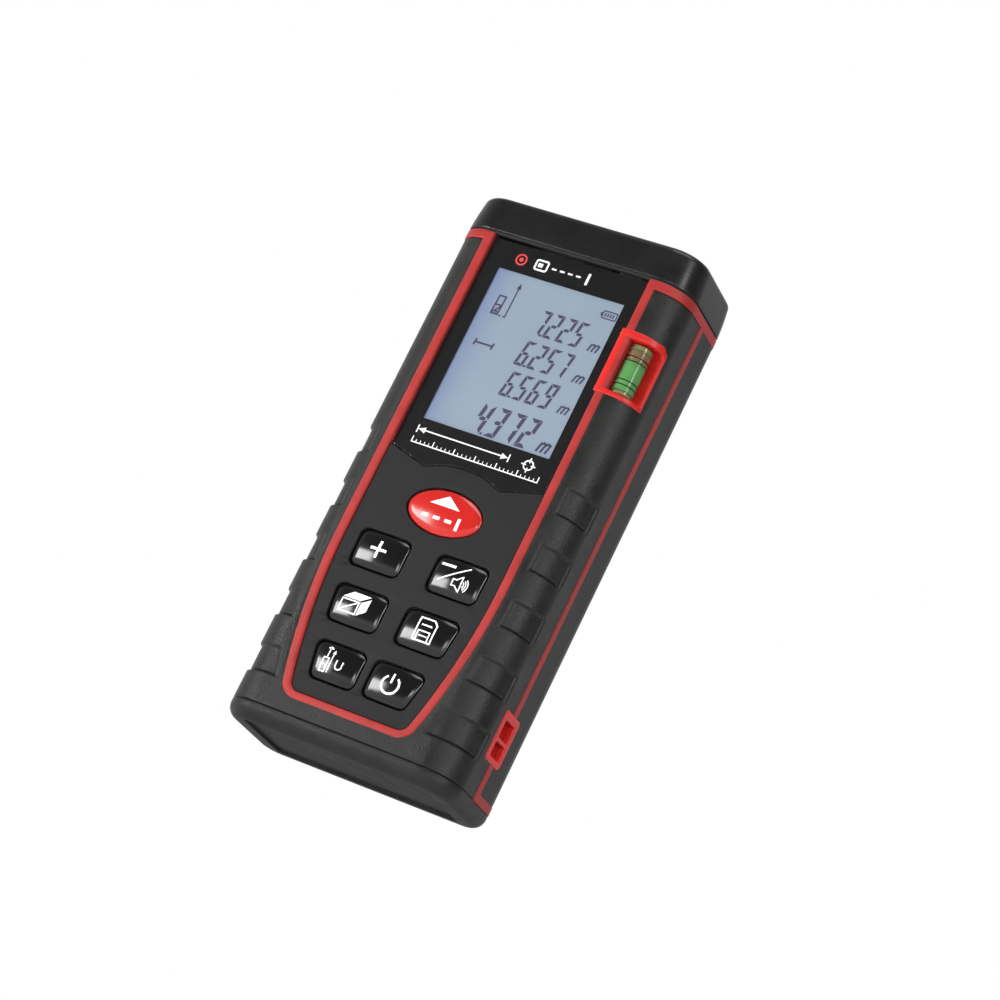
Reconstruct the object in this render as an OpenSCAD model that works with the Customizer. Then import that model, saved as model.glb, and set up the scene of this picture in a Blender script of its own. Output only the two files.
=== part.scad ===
// Laser distance meter with a vial level, seven keys and two AAA cells, as separate pieces.
// Millimetres. X runs to the right and Y from the display side to the back.
// Z runs up, along the laser beam. The meter stands on its foot, whose centre is the origin.

/* [Body] */
// Width across the two red side lines
body_w = 50; // [50:0.5:54]
// Depth from the key crowns to the back
body_d = 25; // [25:0.25:27]
// Height from the foot to the top of the end cap
body_h = 112; // [112:0.5:116]
// Radius of the two long edges on the display side
front_r = 7; // [6:0.25:7.5]
// Radius of the two long edges at the back
back_r = 5; // [4:0.25:5.5]
// Radius round the foot
foot_r = 2.5; // [1.5:0.25:3]
// Height of the end cap
cap_h = 7.5; // [7:0.25:8]
// Wall thickness of the red front housing
wall = 1.5; // [1.2:0.1:1.6]
// Wall thickness of the black rear housing
rear_wall = 1.8; // [1.5:0.1:2]

/* [Grip] */
// Thickness of the soft overmould
grip_t = 1; // [0.8:0.1:1.2]
// Number of pockets along each edge
pocket_count = 5; // [3:1:5]
// Distance from one pocket to the next
pocket_pitch = 11.6; // [11:0.1:11.6]
// Height of one pocket
pocket_h = 5.8; // [5:0.1:6.5]
// Depth of a pocket
pocket_depth = 0.5; // [0.3:0.1:0.6]

/* [Bezel and display] */
// Half width inside the red line
bezel_half = 16.85; // [16.5:0.05:17]
// Width of the red line
bezel_line = 1.85; // [1.5:0.05:2.2]
// Height at which the red line starts to curve inwards
bend_z = 40; // [38:1:42]
// Radius of that curve
bend_r = 118; // [110:1:130]
// Visible width of the display
lcd_w = 27.4; // [25:0.1:28]
// Visible height of the display
lcd_h = 33; // [30:0.1:34]
// Height of the display's centre above the foot
lcd_z = 81.5; // [80:0.5:82]

/* [Keys] */
// Width and height of the oval read key
read_size = [15.5, 8.7]; // [8:0.1:16]
// Height of the read key's centre
read_z = 48.7; // [48:0.1:49.5]
// Centre height of the upper row of small keys
row_z = 37.55; // [37:0.05:38]
// Distance between rows
row_pitch = 11.25; // [11:0.05:11.5]
// Height of a small key
key_h = 7.3; // [6.5:0.1:7.6]
// Widths of the small keys, from the upper row to the lower
key_widths = [10.6, 10.8, 10]; // [9:0.1:10.8]
// Travel of every key
key_travel = 0.8; // [0.5:0.1:0.8]

/* [Cells] */
// Diameter of an AAA cell
cell_d = 10.5; // [10.2:0.1:10.5]
// Length of an AAA cell, terminal included
cell_l = 44.5; // [44:0.1:44.5]

/* [Level] */
// Outer radius of the vial
vial_r = 2.3; // [2:0.1:2.3]
// Length of the vial
vial_l = 10.2; // [9:0.1:10.2]

/* [Hidden] */
$fn = 64;

eps = 0.01;
big = 200;
half_w = body_w / 2;
side_x = half_w - 0.1;              // black side surfaces, just inside the red side lines
y_key = -body_d / 2;                // key crowns
y_bead = y_key + 0.2;               // top of the red line
y_grip = y_key + 0.35;              // soft front surface
y_window = y_key + 0.5;             // face of the window
y_plate = y_key + 0.7;              // face of the key plate
y_wall = y_key + 1.4;               // outside of the housing's front wall
y_in = y_wall + wall;               // inside of that wall
y_back = body_d / 2;
pcb_t = 1.2;
y_pcb = y_in + 3;                   // display side of the circuit board
y_pcb_back = y_pcb + pcb_t;
line_y = [-0.05, 1.65];             // front and back of the red side line
y_part = line_y[1];                 // plane where the two housings meet
inner_x = side_x - grip_t - wall;   // half width of the inside
foot_z = [3.1, 4.9];                // lower and upper face of the red foot plate
cap_z = body_h - cap_h;             // underside of the end cap
ring_z = [cap_z - 2.2, cap_z - 0.3]; // red band under the cap
window_top = ring_z[1] - 0.3;
key_gap = 0.25;
flange_t = 0.6;
y_flange = y_in + 0.1;
switch_h = 0.55;                    // height of a switch above the board
y_stem = y_pcb - switch_h - key_travel - 0.05; // free end of a key's stem
lcd_x = 0.4;
glass = [30, 38, 1.6];
y_glass = y_wall + 0.05;
screw_x = 19.2;
screw_zs = [97.5, 24.5];
y_screw = 4;                        // seat of a case screw's head
post_at = [[-13.5, 57], [13.5, 57], [-12, 7.9], [12, 7.9]];
vial_x = 20.5;
vial_y = -9.2;
vial_z = 81.2;
pocket_z = [80, 93.4];              // red pocket that holds the vial
pocket_left = 16.3;
pocket_back = -7.2;
tub_left = 17.05;                   // left side and back of the tub behind the vial
tub_back = -5.9;
eyelet_y = [-3.8, 4.2];
eyelet_z = [10.4, 20.4];
strap_y = [-2, 2.5];                // the eyelet's two windows and the hollow behind them
strap_z = [[11.7, 14.5], [15.3, 18.7]];
strap_x = [21.2, 23.8];
grip_top = 61;                      // upper edge of the topmost grip pocket
grip_end = -5.4;                    // depth at which the pockets end on the sides
foot_panel = [[-20, -9.4], [20, 9]];
foot_panel_depth = 0.6;
tower_z = 101.5;                    // top of the optical block, where its two tubes start
bay_half = 11.5;
bay_z = [8, 57.5];
bay_floor = -0.1;
cell_x = 5.75;
cell_y = 5.3;
plate_t = 0.4;
spring_l = bay_z[1] - bay_z[0] - 2 * plate_t - cell_l;
door_half = 12.3;
door_z = [7.6, 58.5];
door_y = [y_back - 1.4, y_back - 0.2];
hinge_y = y_back - 1.2;
hinge_z = 60.6;
hinge_r = 1.15;
hinge_half = 9.9;
pin_r = 0.7;
optic_y = 2;
lens_x = -6.8;
lens_r = 6.9;
laser_x = 9.8;
laser_r = 4.5;
ear_at = [[-13.4, 72.6], [13.4, 72.6]];
label = [24, 25];
label_z = 80;

red = [0.80, 0.16, 0.17];
black = [0.13, 0.13, 0.14];
soft_black = [0.17, 0.17, 0.18];
gloss_black = [0.06, 0.06, 0.07];

// Points of a polygon's corner b, rounded to radius r between its neighbours a and c.
function unit(v) = v / norm(v);
function turn(d) = d > 180 ? d - 360 : d < -180 ? d + 360 : d;
function corner(a, b, c, r, n = 8) =
    let (u = unit(a - b), v = unit(c - b), half = acos(u * v) / 2)
    let (m = b + unit(u + v) * r / sin(half))
    let (p = b + u * r / tan(half) - m, q = b + v * r / tan(half) - m)
    let (from = atan2(p[1], p[0]), sweep = turn(atan2(q[1], q[0]) - from))
    [for (i = [0:n]) m + r * [cos(from + sweep * i / n), sin(from + sweep * i / n)]];
function rounded(pts, r) =
    let (n = len(pts))
    [for (i = [0:n - 1]) each corner(pts[(i + n - 1) % n], pts[i], pts[(i + 1) % n], r)];
function box_points(lo, hi) = [[lo[0], lo[1]], [hi[0], lo[1]], [hi[0], hi[1]], [lo[0], hi[1]]];

// Half width of the red line's edge at height z: straight above, and an arc below bend_z.
function bezel_x(half, z) = z > bend_z ? half : half - bend_r + sqrt(bend_r * bend_r - pow(bend_z - z, 2));
function bezel_side(half, low, r) =
    let (cz = low + r, cx = half - bend_r + sqrt(pow(bend_r - r, 2) - pow(bend_z - cz, 2)))
    let (end = atan2(cz - bend_z, cx - half + bend_r))
    let (turn_x = half - bend_r, n = 8)
    concat([for (i = [0:n]) [turn_x + bend_r * cos(end * i / n), bend_z + bend_r * sin(end * i / n)]],
        [for (i = [1:n]) let (a = end - (90 + end) * i / n) [cx + r * cos(a), cz + r * sin(a)]]);
function mirrored(pts) = [for (i = [len(pts) - 1:-1:0]) [-pts[i][0], pts[i][1]]];
function bezel_outline(half, low, r, top) =
    let (side = bezel_side(half, low, r))
    concat([[-half, top], [half, top]], side, mirrored(side));

// Lower edge of the window: two slanting wings and a shallow arch between them.
arch_half = 8;
arch_rise = 1.9;
arch_z = 56;
wing_rise = 2.4;
arch_r = (arch_half * arch_half + arch_rise * arch_rise) / (2 * arch_rise);
function arch(drop) =
    [for (i = [-6:6]) let (a = asin(arch_half / arch_r) * i / 6)
        [arch_r * sin(a), arch_z + arch_rise - arch_r * (1 - cos(a)) - drop]];
function window_outline(half, top, drop) =
    let (end = arch_z + wing_rise - drop)
    concat([[half, top], [-half, top], [-half, end]], arch(drop), [[half, end]]);

// Outline of a small key in the right-hand column, grown by g all round.
key_inset = 3.15;                   // from the red line's inner edge to the keys
key_corner_r = 1.3;
function key_row_z(row) = row_z - row_pitch * row;
function key_out(z) = bezel_x(bezel_half, z) - key_inset;
function key_outline(row, g) =
    let (z = key_row_z(row), h = key_h / 2 + g, inner = key_out(z) - key_widths[row] - g)
    let (low = key_out(z - h) + g, top = key_out(z + h) + g)
    rounded([[inner, z - h], [low, z - h], [top, z + h], [inner, z + h]], key_corner_r + g);
function key_centre(row) = [key_out(key_row_z(row)) - key_widths[row] / 2, key_row_z(row)];
function oval(size) = [for (a = [0:5:355]) [size[0] / 2 * cos(a), read_z + size[1] / 2 * sin(a)]];
key_spots = concat([[0, read_z]],
    [for (row = [0:2]) for (side = [-1, 1]) let (c = key_centre(row)) [side * c[0], c[1]]]);

// Horizontal section of the body between a front and a back plane.
module section(half, front, back, rf, rb) {
    for (side = [-1, 1]) {
        translate([side * (half - rf), front + rf]) circle(r = rf);
        translate([side * (half - rb), back - rb]) circle(r = rb);
    }
    translate([rf - half, front]) square([2 * (half - rf), back - rb - front]);
    translate([-half, front + rf]) square([2 * half, back - rb - front - rf]);
    translate([rb - half, front + rf]) square([2 * (half - rb), back - front - rf]);
}

module prism(z) {
    translate([0, 0, z[0]]) linear_extrude(z[1] - z[0]) children();
}

// Stands a drawing of the front face between the depths y[0] and y[1].
module slab(y) {
    translate([0, y[1], 0]) rotate([90, 0, 0]) linear_extrude(y[1] - y[0]) children();
}

module block(lo, hi) {
    translate(lo) cube(hi - lo);
}

// Round rod along Y.
module rod(x, z, r, y) {
    translate([x, y[1], z]) rotate([90, 0, 0]) cylinder(r = r, h = y[1] - y[0]);
}

module red_section() {
    section(half_w, y_bead, y_back, front_r, back_r);
}

module grip_section(inset = 0) {
    section(side_x - inset, y_grip + inset, y_back - inset, front_r - inset, back_r - inset);
}

module housing_section() {
    section(side_x - grip_t, y_wall, y_back - grip_t, front_r - grip_t, back_r - grip_t);
}

module hollow_section() {
    section(inner_x, y_in, y_back - 2, front_r - grip_t - wall, back_r - 2);
}

module bead_outline() {
    polygon(bezel_outline(bezel_half + bezel_line, 6.2, 4, ring_z[1]));
}

module bead_hole() {
    polygon(bezel_outline(bezel_half, 7.8, 2.2, ring_z[1] + eps));
}

module pocket_outline(g = 0) {
    polygon([[pocket_left - g, pocket_z[0] + 1.1], [pocket_left + 1.1 - g, pocket_z[0] - g],
        [half_w + 1, pocket_z[0] - g], [half_w + 1, pocket_z[1] + g],
        [pocket_left + 1.1 - g, pocket_z[1] + g], [pocket_left - g, pocket_z[1] - 1.1]]);
}

// Red pocket for the vial, moulded as one with the red line.
module vial_pocket_body() {
    intersection() {
        slab([y_bead - 0.15, pocket_back]) pocket_outline();
        prism(pocket_z) section(half_w, y_bead - 0.15, y_back, front_r, back_r);
    }
    intersection() {
        block([tub_left, y_wall, pocket_z[0] + 0.2], [half_w, tub_back, pocket_z[1] - 0.8]);
        prism(pocket_z) housing_section();
    }
}

module vial_pocket_hollow() {
    prism([vial_z - 0.1, vial_z + vial_l + 0.1]) {
        translate([vial_x, vial_y]) circle(r = vial_r + 0.05);
        polygon([[17.8, y_key - 1], [18.25, vial_y - 0.6], [vial_x - 1.6, vial_y + 1.7],
            [vial_x + 1.2, vial_y + 1.9], [half_w + 1, -8.3], [half_w + 1, y_key - 1]]);
    }
}

module eyelet_block(x, g = 0) {
    lo = [eyelet_y[0] - g, eyelet_z[0] - g];
    hi = [eyelet_y[1] + g, eyelet_z[1] + g];
    translate([x[0], 0, 0]) rotate([90, 0, 90]) linear_extrude(x[1] - x[0])
        polygon(rounded(box_points(lo, hi), 1));
}

module front_housing() {
    color(red) difference() {
        union() {
            intersection() {
                prism([foot_z[0], ring_z[1]]) housing_section();
                block([-big, -big, 0], [big, y_part, big]);
            }
            intersection() {
                prism([foot_z[0], ring_z[1]]) red_section();
                block([-big, line_y[0], 0], [big, line_y[1], big]);
            }
            intersection() {
                prism(foot_z) red_section();
                block([-big, line_y[0], 0], [big, big, big]);
            }
            prism(ring_z) red_section();
            slab([y_bead, y_wall + eps]) bead_outline();
        }
        prism([foot_z[1], ring_z[1] + 1]) hollow_section();
        slab([-big, y_wall]) bead_hole();
        slab([-big, y_in + 1]) pocket_outline();
        block([tub_left, -big, pocket_z[0] + 0.2], [big, tub_back, pocket_z[1] - 0.8]);
        translate([lcd_x - glass[0] / 2 - 0.2, -big, lcd_z - glass[1] / 2 - 0.7])
            cube([glass[0] + 0.4, big, glass[1] + 0.4]);
        slab([-big, 0]) polygon(oval(read_size + [0.6, 0.6]));
        for (row = [0:2], side = [0, 1]) {
            mirror([side, 0, 0]) slab([-big, 0]) polygon(key_outline(row, 0.3));
        }
        eyelet_block([20, big]);
    }
    color(red) difference() {
        vial_pocket_body();
        vial_pocket_hollow();
    }
    color(red) front_posts();
}

// Screw bosses and board posts inside the front wall.
module front_posts() {
    difference() {
        union() {
            for (x = [-screw_x, screw_x], z = screw_zs) {
                rod(x, z, 2.4, [y_in - 0.2, y_part]);
            }
            for (p = post_at) {
                rod(p[0], p[1], 1.4, [y_in - 0.2, y_pcb]);
            }
        }
        for (x = [-screw_x, screw_x], z = screw_zs) {
            rod(x, z, 1, [-4.2, y_part + 1]);
        }
        for (p = post_at) {
            rod(p[0], p[1], 0.75, [y_in, y_pcb + 1]);
        }
    }
}

// Trims the foot's lower edges to its radius.
module foot_rounding() {
    rotate([90, 0, 0]) translate([0, 0, -big / 2]) linear_extrude(big)
        polygon(rounded(box_points([-side_x, 0], [side_x, big]), foot_r));
}

module foot_rounding_side() {
    translate([-big / 2, 0, 0]) rotate([90, 0, 90]) linear_extrude(big)
        polygon(rounded(box_points([y_grip, 0], [y_back, big]), foot_r));
}

// Pockets cut round the long front edges. Their inner ends follow the red line.
module grip_pockets() {
    pocket_from = bezel_half + bezel_line + 1.45;
    for (i = [0:pocket_count - 1], side = [0, 1]) {
        top = grip_top - pocket_pitch * i;
        low = top - pocket_h;
        mirror([side, 0, 0]) difference() {
            slab([-big, grip_end]) polygon([[bezel_x(pocket_from, low), low], [big, low],
                [big, top], [bezel_x(pocket_from, top), top]]);
            prism([0, body_h]) grip_section(pocket_depth);
        }
    }
}

module grip_overmould() {
    color(soft_black) difference() {
        intersection() {
            prism([0, ring_z[0]]) grip_section();
            foot_rounding();
            foot_rounding_side();
        }
        prism([foot_z[0], body_h]) housing_section();
        block([-big, line_y[0], foot_z[0]], [big, big, big]);
        slab([-big, y_wall]) bead_outline();
        slab([-big, pocket_back]) pocket_outline();
        eyelet_block([20, big]);
        grip_pockets();
        // Shallow panel in the foot.
        prism([-1, foot_panel_depth]) polygon(rounded(box_points(foot_panel[0], foot_panel[1]), 1.2));
    }
}

module label_outline(g = 0) {
    x = label[0] / 2 + g;
    z = label[1] / 2 + g;
    polygon(rounded(box_points([-x, label_z - z], [x, label_z + z]), 1.4 + g));
}

module rear_housing() {
    color(black) difference() {
        union() {
            difference() {
                intersection() {
                    prism([foot_z[1], ring_z[0]]) grip_section();
                    block([-big, y_part, 0], [big, big, big]);
                }
                prism([foot_z[1] + 1.5, big]) section(side_x - rear_wall, y_in, y_back - rear_wall,
                    front_r - 2, back_r - rear_wall);
            }
            block([-bay_half - 1.2, bay_floor - 1.2, foot_z[1] + 1.5], [bay_half + 1.2, y_back - 1, 58.7]);
            block([-door_half - 1.4, 8.8, 58.6], [door_half + 1.4, y_back - 1, 63.2]);
            for (x = [-screw_x, screw_x], z = screw_zs) {
                rod(x, z, 3.1, [y_part, y_back - 1]);
            }
            for (p = ear_at) {
                rod(p[0], p[1], 2.4, [9.8, y_back - 1]);
            }
        }
        block([-bay_half, bay_floor, bay_z[0]], [bay_half, big, bay_z[1]]);
        slab([door_y[0] - 0.1, big]) polygon(rounded(box_points([-door_half - 0.15, door_z[0] - 0.15],
            [door_half + 0.15, door_z[1] + 0.6]), 1.2));
        // Trough for the hinge barrel, and a blind bearing at each end of it.
        block([-hinge_half - 0.3, 10, 58], [hinge_half + 0.3, big, 62]);
        hinge_rod(pin_r + 0.07, hinge_half + 2.1);
        for (x = [-screw_x, screw_x], z = screw_zs) {
            rod(x, z, 2.2, [y_screw, big]);
            rod(x, z, 1.15, [y_part - 1, big]);
        }
        for (p = ear_at) {
            rod(p[0], p[1], 1, [9, y_back - 0.7]);
        }
        slab([y_back - 0.25, big]) label_outline(0.15);
        // Finger notch under the door's free end.
        slab([y_back - 1, big]) polygon([[-4, 5.6], [4, 5.6], [5, door_z[0]], [-5, door_z[0]]]);
        eyelet_block([20, big]);
    }
}

module cap_profile(low, top, drop_low, drop_top, z) {
    polygon(rounded([[low + drop_low, z[0]], [top - drop_low, z[0]], [top - drop_top, z[1]],
        [low + drop_top, z[1]]], 1.2));
}

module cap_solid(g, z, top_g) {
    intersection() {
        prism(z) section(half_w - g, y_bead + g, y_back - g, front_r - g, back_r - g);
        translate([0, big / 2, 0]) rotate([90, 0, 0]) linear_extrude(big)
            cap_profile(-half_w, half_w, g, g + 0.7 * top_g, [z[0] - 3, z[1]]);
        translate([-big / 2, 0, 0]) rotate([90, 0, 90]) linear_extrude(big)
            cap_profile(y_bead, y_back, g, g + 0.8 * top_g, [z[0] - 3, z[1]]);
    }
}

module racetrack(half_l, r) {
    for (side = [-1, 1]) {
        translate([side * (half_l - r) + 1, optic_y]) circle(r = r);
    }
    translate([r - half_l + 1, optic_y - r]) square([2 * (half_l - r), 2 * r]);
}

module end_cap() {
    color(gloss_black) difference() {
        cap_solid(0, [cap_z, body_h], 1);
        cap_solid(1.5, [cap_z - 3, body_h - 1.6], 1);
        prism([body_h - 0.8, big]) racetrack(17.5, 8);
        translate([lens_x, optic_y, 0]) cylinder(r = lens_r - 0.3, h = big);
        translate([laser_x, optic_y, 0]) cylinder(r = 2.2, h = big);
        translate([laser_x, optic_y, 0]) cylinder(r = 3.1, h = body_h - 1.1);
    }
}

module cap_gasket() {
    color([0.03, 0.03, 0.03]) prism([ring_z[1], cap_z]) difference() {
        section(half_w - 0.4, y_bead + 0.4, y_back - 0.4, front_r - 0.4, back_r - 0.4);
        section(half_w - 1.5, y_bead + 1.5, y_back - 1.5, front_r - 1.5, back_r - 1.5);
    }
}

module optics_panel() {
    color(gloss_black) difference() {
        prism([body_h - 0.8, body_h - 0.05]) racetrack(17.4, 7.9);
        translate([lens_x, optic_y, 0]) cylinder(r = lens_r - 0.5, h = big);
        translate([laser_x, optic_y, 0]) cylinder(r = 2, h = big);
    }
}

module emitter_window() {
    color([0.7, 0.8, 0.85, 0.5]) translate([laser_x, optic_y, body_h - 1.65]) cylinder(r = 3, h = 0.5);
}

lens_seat = body_h - 4.6;
module receiver_lens() {
    dome = 1.5;
    ball = (lens_r * lens_r + dome * dome) / (2 * dome);
    color([0.75, 0.7, 0.8, 0.5]) translate([lens_x, optic_y, lens_seat]) intersection() {
        cylinder(r = lens_r, h = 1.4 + dome);
        translate([0, 0, 1.4 + dome - ball]) sphere(r = ball);
    }
}

module lens_retainer() {
    color(black) translate([lens_x, optic_y, lens_seat + 1.65]) difference() {
        cylinder(r = lens_r + 0.05, h = 0.9);
        translate([0, 0, -1]) cylinder(r = lens_r - 0.5, h = 3);
    }
}

// Cast block that carries the laser and the receiving optics in line with each other.
module optical_chassis() {
    color([0.55, 0.56, 0.58]) difference() {
        union() {
            block([-14.6, -4.6, 70], [15.2, 9.6, tower_z]);
            translate([lens_x, optic_y, tower_z]) cylinder(r = lens_r + 0.9, h = body_h - 2.1 - tower_z);
            translate([laser_x, optic_y, tower_z]) cylinder(r = laser_r + 1.1, h = body_h - 2.1 - tower_z);
            for (p = ear_at) {
                rod(p[0], p[1], 2.6, [7, 9.8]);
            }
        }
        translate([lens_x, optic_y, 73]) cylinder(r = lens_r - 0.8, h = big);
        translate([lens_x, optic_y, lens_seat]) cylinder(r = lens_r + 0.05, h = big);
        translate([lens_x, optic_y, 60]) cylinder(r = 2.5, h = 20);
        translate([laser_x, optic_y, 78]) cylinder(r = laser_r, h = big);
        translate([laser_x, optic_y, 60]) cylinder(r = 2.6, h = 30);
        for (p = ear_at) {
            rod(p[0], p[1], 2.1, [-10, 7]);
            rod(p[0], p[1], 1.1, [-10, 20]);
        }
    }
}

module laser_barrel() {
    color([0.75, 0.6, 0.3]) translate([laser_x, optic_y, 82]) difference() {
        cylinder(r = laser_r, h = 25);
        translate([0, 0, -1]) cylinder(r = 2.85, h = 25);
        cylinder(r = 1.8, h = 30);
    }
}

module laser_diode() {
    color([0.8, 0.78, 0.7]) translate([laser_x, optic_y, 82.4]) {
        cylinder(r = 2.8, h = 1.2);
        translate([0, 0, 1.2]) cylinder(r = 2.3, h = 2.4);
        for (a = [90, 210, 330]) {
            rotate(a) translate([1.1, 0, -6]) cylinder(r = 0.25, h = 6.1);
        }
    }
}

module collimator_lens() {
    color([0.7, 0.8, 0.85, 0.5]) translate([laser_x, optic_y, 101]) intersection() {
        cylinder(r = 2.8, h = 2.4);
        translate([0, 0, 6.4]) sphere(r = 6.4);
        translate([0, 0, -4]) sphere(r = 6.4);
    }
}

module photodiode_board() {
    color([0.1, 0.35, 0.2]) difference() {
        block([-14, -4.4, 68.6], [0.4, 8.4, 69.8]);
        for (a = [30:120:270]) {
            translate([lens_x, optic_y, 60]) rotate(a) translate([1.3, 0, 0]) cylinder(r = 0.35, h = 20);
        }
    }
}

module photodiode() {
    color([0.7, 0.7, 0.72]) translate([lens_x, optic_y, 69.8]) {
        cylinder(r = 2.4, h = 0.5);
        cylinder(r = 2.1, h = 2.6);
        for (a = [30:120:270]) {
            rotate(a) translate([1.3, 0, -1.6]) cylinder(r = 0.25, h = 1.7);
        }
    }
}

module flex_cable() {
    color([0.75, 0.5, 0.15]) {
        block([-9, -5.3, 64], [-3, -5.1, 68.6]);
        block([-9, -5.3, 68.4], [-3, 0, 68.6]);
    }
}

module main_pcb() {
    color([0.08, 0.3, 0.16]) difference() {
        slab([y_pcb, y_pcb_back]) polygon(rounded(box_points([-16.4, 6.2], [16.4, 101]), 1));
        for (p = post_at) {
            rod(p[0], p[1], 0.9, [-20, 20]);
        }
    }
}

module processor_chip() {
    color([0.1, 0.1, 0.1]) block([-12, y_pcb_back, 34], [-2, y_pcb_back + 1.1, 44]);
}

module rf_shield() {
    color([0.75, 0.76, 0.78]) difference() {
        block([1, y_pcb_back, 42.8], [14, y_pcb_back + 2.2, 54.8]);
        block([1.3, y_pcb_back - 1, 43.1], [13.7, y_pcb_back + 1.9, 54.5]);
    }
}

module buzzer() {
    color([0.09, 0.09, 0.09]) difference() {
        rod(6.5, 29, 4.5, [y_pcb_back, y_pcb_back + 3.6]);
        rod(6.5, 29, 0.9, [y_pcb_back + 2.6, 20]);
    }
}

module tact_switches() {
    color([0.75, 0.76, 0.78]) for (p = key_spots) {
        block([p[0] - 2.1, y_pcb - 0.35, p[1] - 2.1], [p[0] + 2.1, y_pcb, p[1] + 2.1]);
        rod(p[0], p[1], 1.1, [y_pcb - switch_h, y_pcb - 0.3]);
    }
}

module zebra_connector() {
    color([0.85, 0.55, 0.6]) block([lcd_x - 12, y_glass + glass[2], 62.3], [lcd_x + 12, y_pcb, 64]);
}

module lcd_glass() {
    color([0.62, 0.7, 0.8]) translate([lcd_x - glass[0] / 2, y_glass, lcd_z - glass[1] / 2 - 0.5])
        cube([glass[0], glass[2], glass[1]]);
}

module lcd_backlight() {
    color([0.92, 0.94, 0.96]) block([lcd_x - 14.6, y_glass + glass[2], 65],
        [lcd_x + 14.6, y_glass + glass[2] + 1.8, 99.6]);
}

module lcd_bracket() {
    color([0.9, 0.9, 0.88]) difference() {
        block([lcd_x - 15.75, y_in + 0.05, 60.6], [lcd_x + 15.75, y_pcb, 101]);
        block([lcd_x - 15.1, -big, 61.8], [lcd_x + 15.1, big, 100.2]);
    }
}

module display_window() {
    color([0.1, 0.1, 0.12, 0.6]) slab([y_window, y_wall - 0.2]) difference() {
        polygon(window_outline(bezel_half - 0.1, window_top, 0));
        pocket_outline(0.1);
    }
}

module window_tape() {
    color([0.03, 0.03, 0.03]) slab([y_wall - 0.2, y_wall]) difference() {
        polygon(window_outline(bezel_half - 0.3, window_top - 0.2, -0.2));
        pocket_outline(0.3);
        translate([lcd_x - lcd_w / 2, lcd_z - lcd_h / 2]) square([lcd_w, lcd_h]);
    }
}

module face_plate() {
    color(soft_black) slab([y_plate, y_wall]) difference() {
        polygon(bezel_outline(bezel_half - 0.1, 7.9, 2.1, 60));
        polygon(window_outline(bezel_half + 1, 70, 0.15));
        polygon(oval(read_size + [2, 2] * key_gap));
        for (row = [0:2], side = [0, 1]) {
            mirror([side, 0]) polygon(key_outline(row, key_gap));
        }
    }
}

module key_mat() {
    color([0.35, 0.36, 0.38]) difference() {
        slab([y_in + 0.05, y_pcb]) polygon(rounded(box_points([-15.9, 9.5], [15.9, 55.2]), 1));
        slab([-big, y_pcb - 0.4]) polygon(rounded(box_points([-15, 10.4], [15, 54.3]), 1));
        for (p = key_spots) {
            rod(p[0], p[1], 3.1, [-20, 20]);
        }
    }
}

// A key: crowned cap, flange behind the front wall and a stem that reaches for its switch.
module key_crown(centre, r) {
    translate([centre[0], y_key + r, centre[1] - 20]) cylinder(r = r, h = 40, $fn = 180);
}

module key_stem(centre) {
    rod(centre[0], centre[1], 1.6, [y_flange + flange_t - eps, y_stem]);
}

module small_key(row, side) {
    centre = key_centre(row);
    color(gloss_black) mirror([side < 0 ? 1 : 0, 0, 0]) {
        intersection() {
            slab([y_key, y_flange + eps]) polygon(key_outline(row, 0));
            key_crown(centre, 40);
        }
        slab([y_flange, y_flange + flange_t]) polygon(key_outline(row, 0.8));
        key_stem(centre);
    }
}

module read_key() {
    color(red) {
        intersection() {
            slab([y_key, y_flange + eps]) polygon(oval(read_size));
            key_crown([0, read_z], 45);
        }
        slab([y_flange, y_flange + flange_t]) polygon(oval(read_size + [1.6, 1.6]));
        key_stem([0, read_z]);
    }
}

module plus_key() {
    small_key(0, -1);
}

module minus_key() {
    small_key(0, 1);
}

module area_key() {
    small_key(1, -1);
}

module save_key() {
    small_key(1, 1);
}

module reference_key() {
    small_key(2, -1);
}

module clear_key() {
    small_key(2, 1);
}

channel_r = 1.28;
bore_r = vial_r - 0.45;
plug_t = 0.8;
bubble_l = 2.3;

module vial_tube() {
    color([0.85, 0.95, 0.85, 0.4]) translate([vial_x, vial_y, vial_z]) difference() {
        cylinder(r = vial_r, h = vial_l);
        translate([0, 0, -1]) cylinder(r = bore_r, h = vial_l + 2);
    }
}

module vial_plugs() {
    color([0.8, 0.85, 0.7]) for (z = [vial_z, vial_z + vial_l - plug_t]) {
        translate([vial_x, vial_y, z]) cylinder(r = bore_r, h = plug_t);
    }
}

module vial_liquid() {
    color([0.2, 0.65, 0.3, 0.8]) translate([vial_x, vial_y, vial_z + plug_t]) difference() {
        cylinder(r = bore_r, h = vial_l - 2 * plug_t);
        translate([0, 0, -1]) cylinder(r = channel_r, h = vial_l);
    }
}

module vial_bubble() {
    color([0.9, 0.95, 0.9, 0.4]) translate([vial_x, vial_y, vial_z + vial_l - plug_t - 0.1 - bubble_l])
        rotate_extrude() polygon([[0, 0], [channel_r - 0.5, 0], [channel_r - 0.08, 0.5],
            [channel_r - 0.08, bubble_l - 0.5], [channel_r - 0.5, bubble_l], [0, bubble_l]]);
}

// Red eyelet: two windows with a bar between them, and a hollow behind the bar for the strap.
module lanyard_eyelet() {
    color(red) difference() {
        eyelet_block([20.2, half_w]);
        for (z = strap_z) {
            block([strap_x[1], strap_y[0], z[0]], [big, strap_y[1], z[1]]);
        }
        block([strap_x[0], strap_y[0], strap_z[0][0]], [strap_x[1] + eps, strap_y[1], strap_z[1][1]]);
        block([half_w - 0.2, strap_y[0], 14], [big, strap_y[1], 16]);
    }
}

module hinge_rod(r, half) {
    translate([-half, hinge_y, hinge_z]) rotate([0, 90, 0]) cylinder(r = r, h = 2 * half);
}

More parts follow.
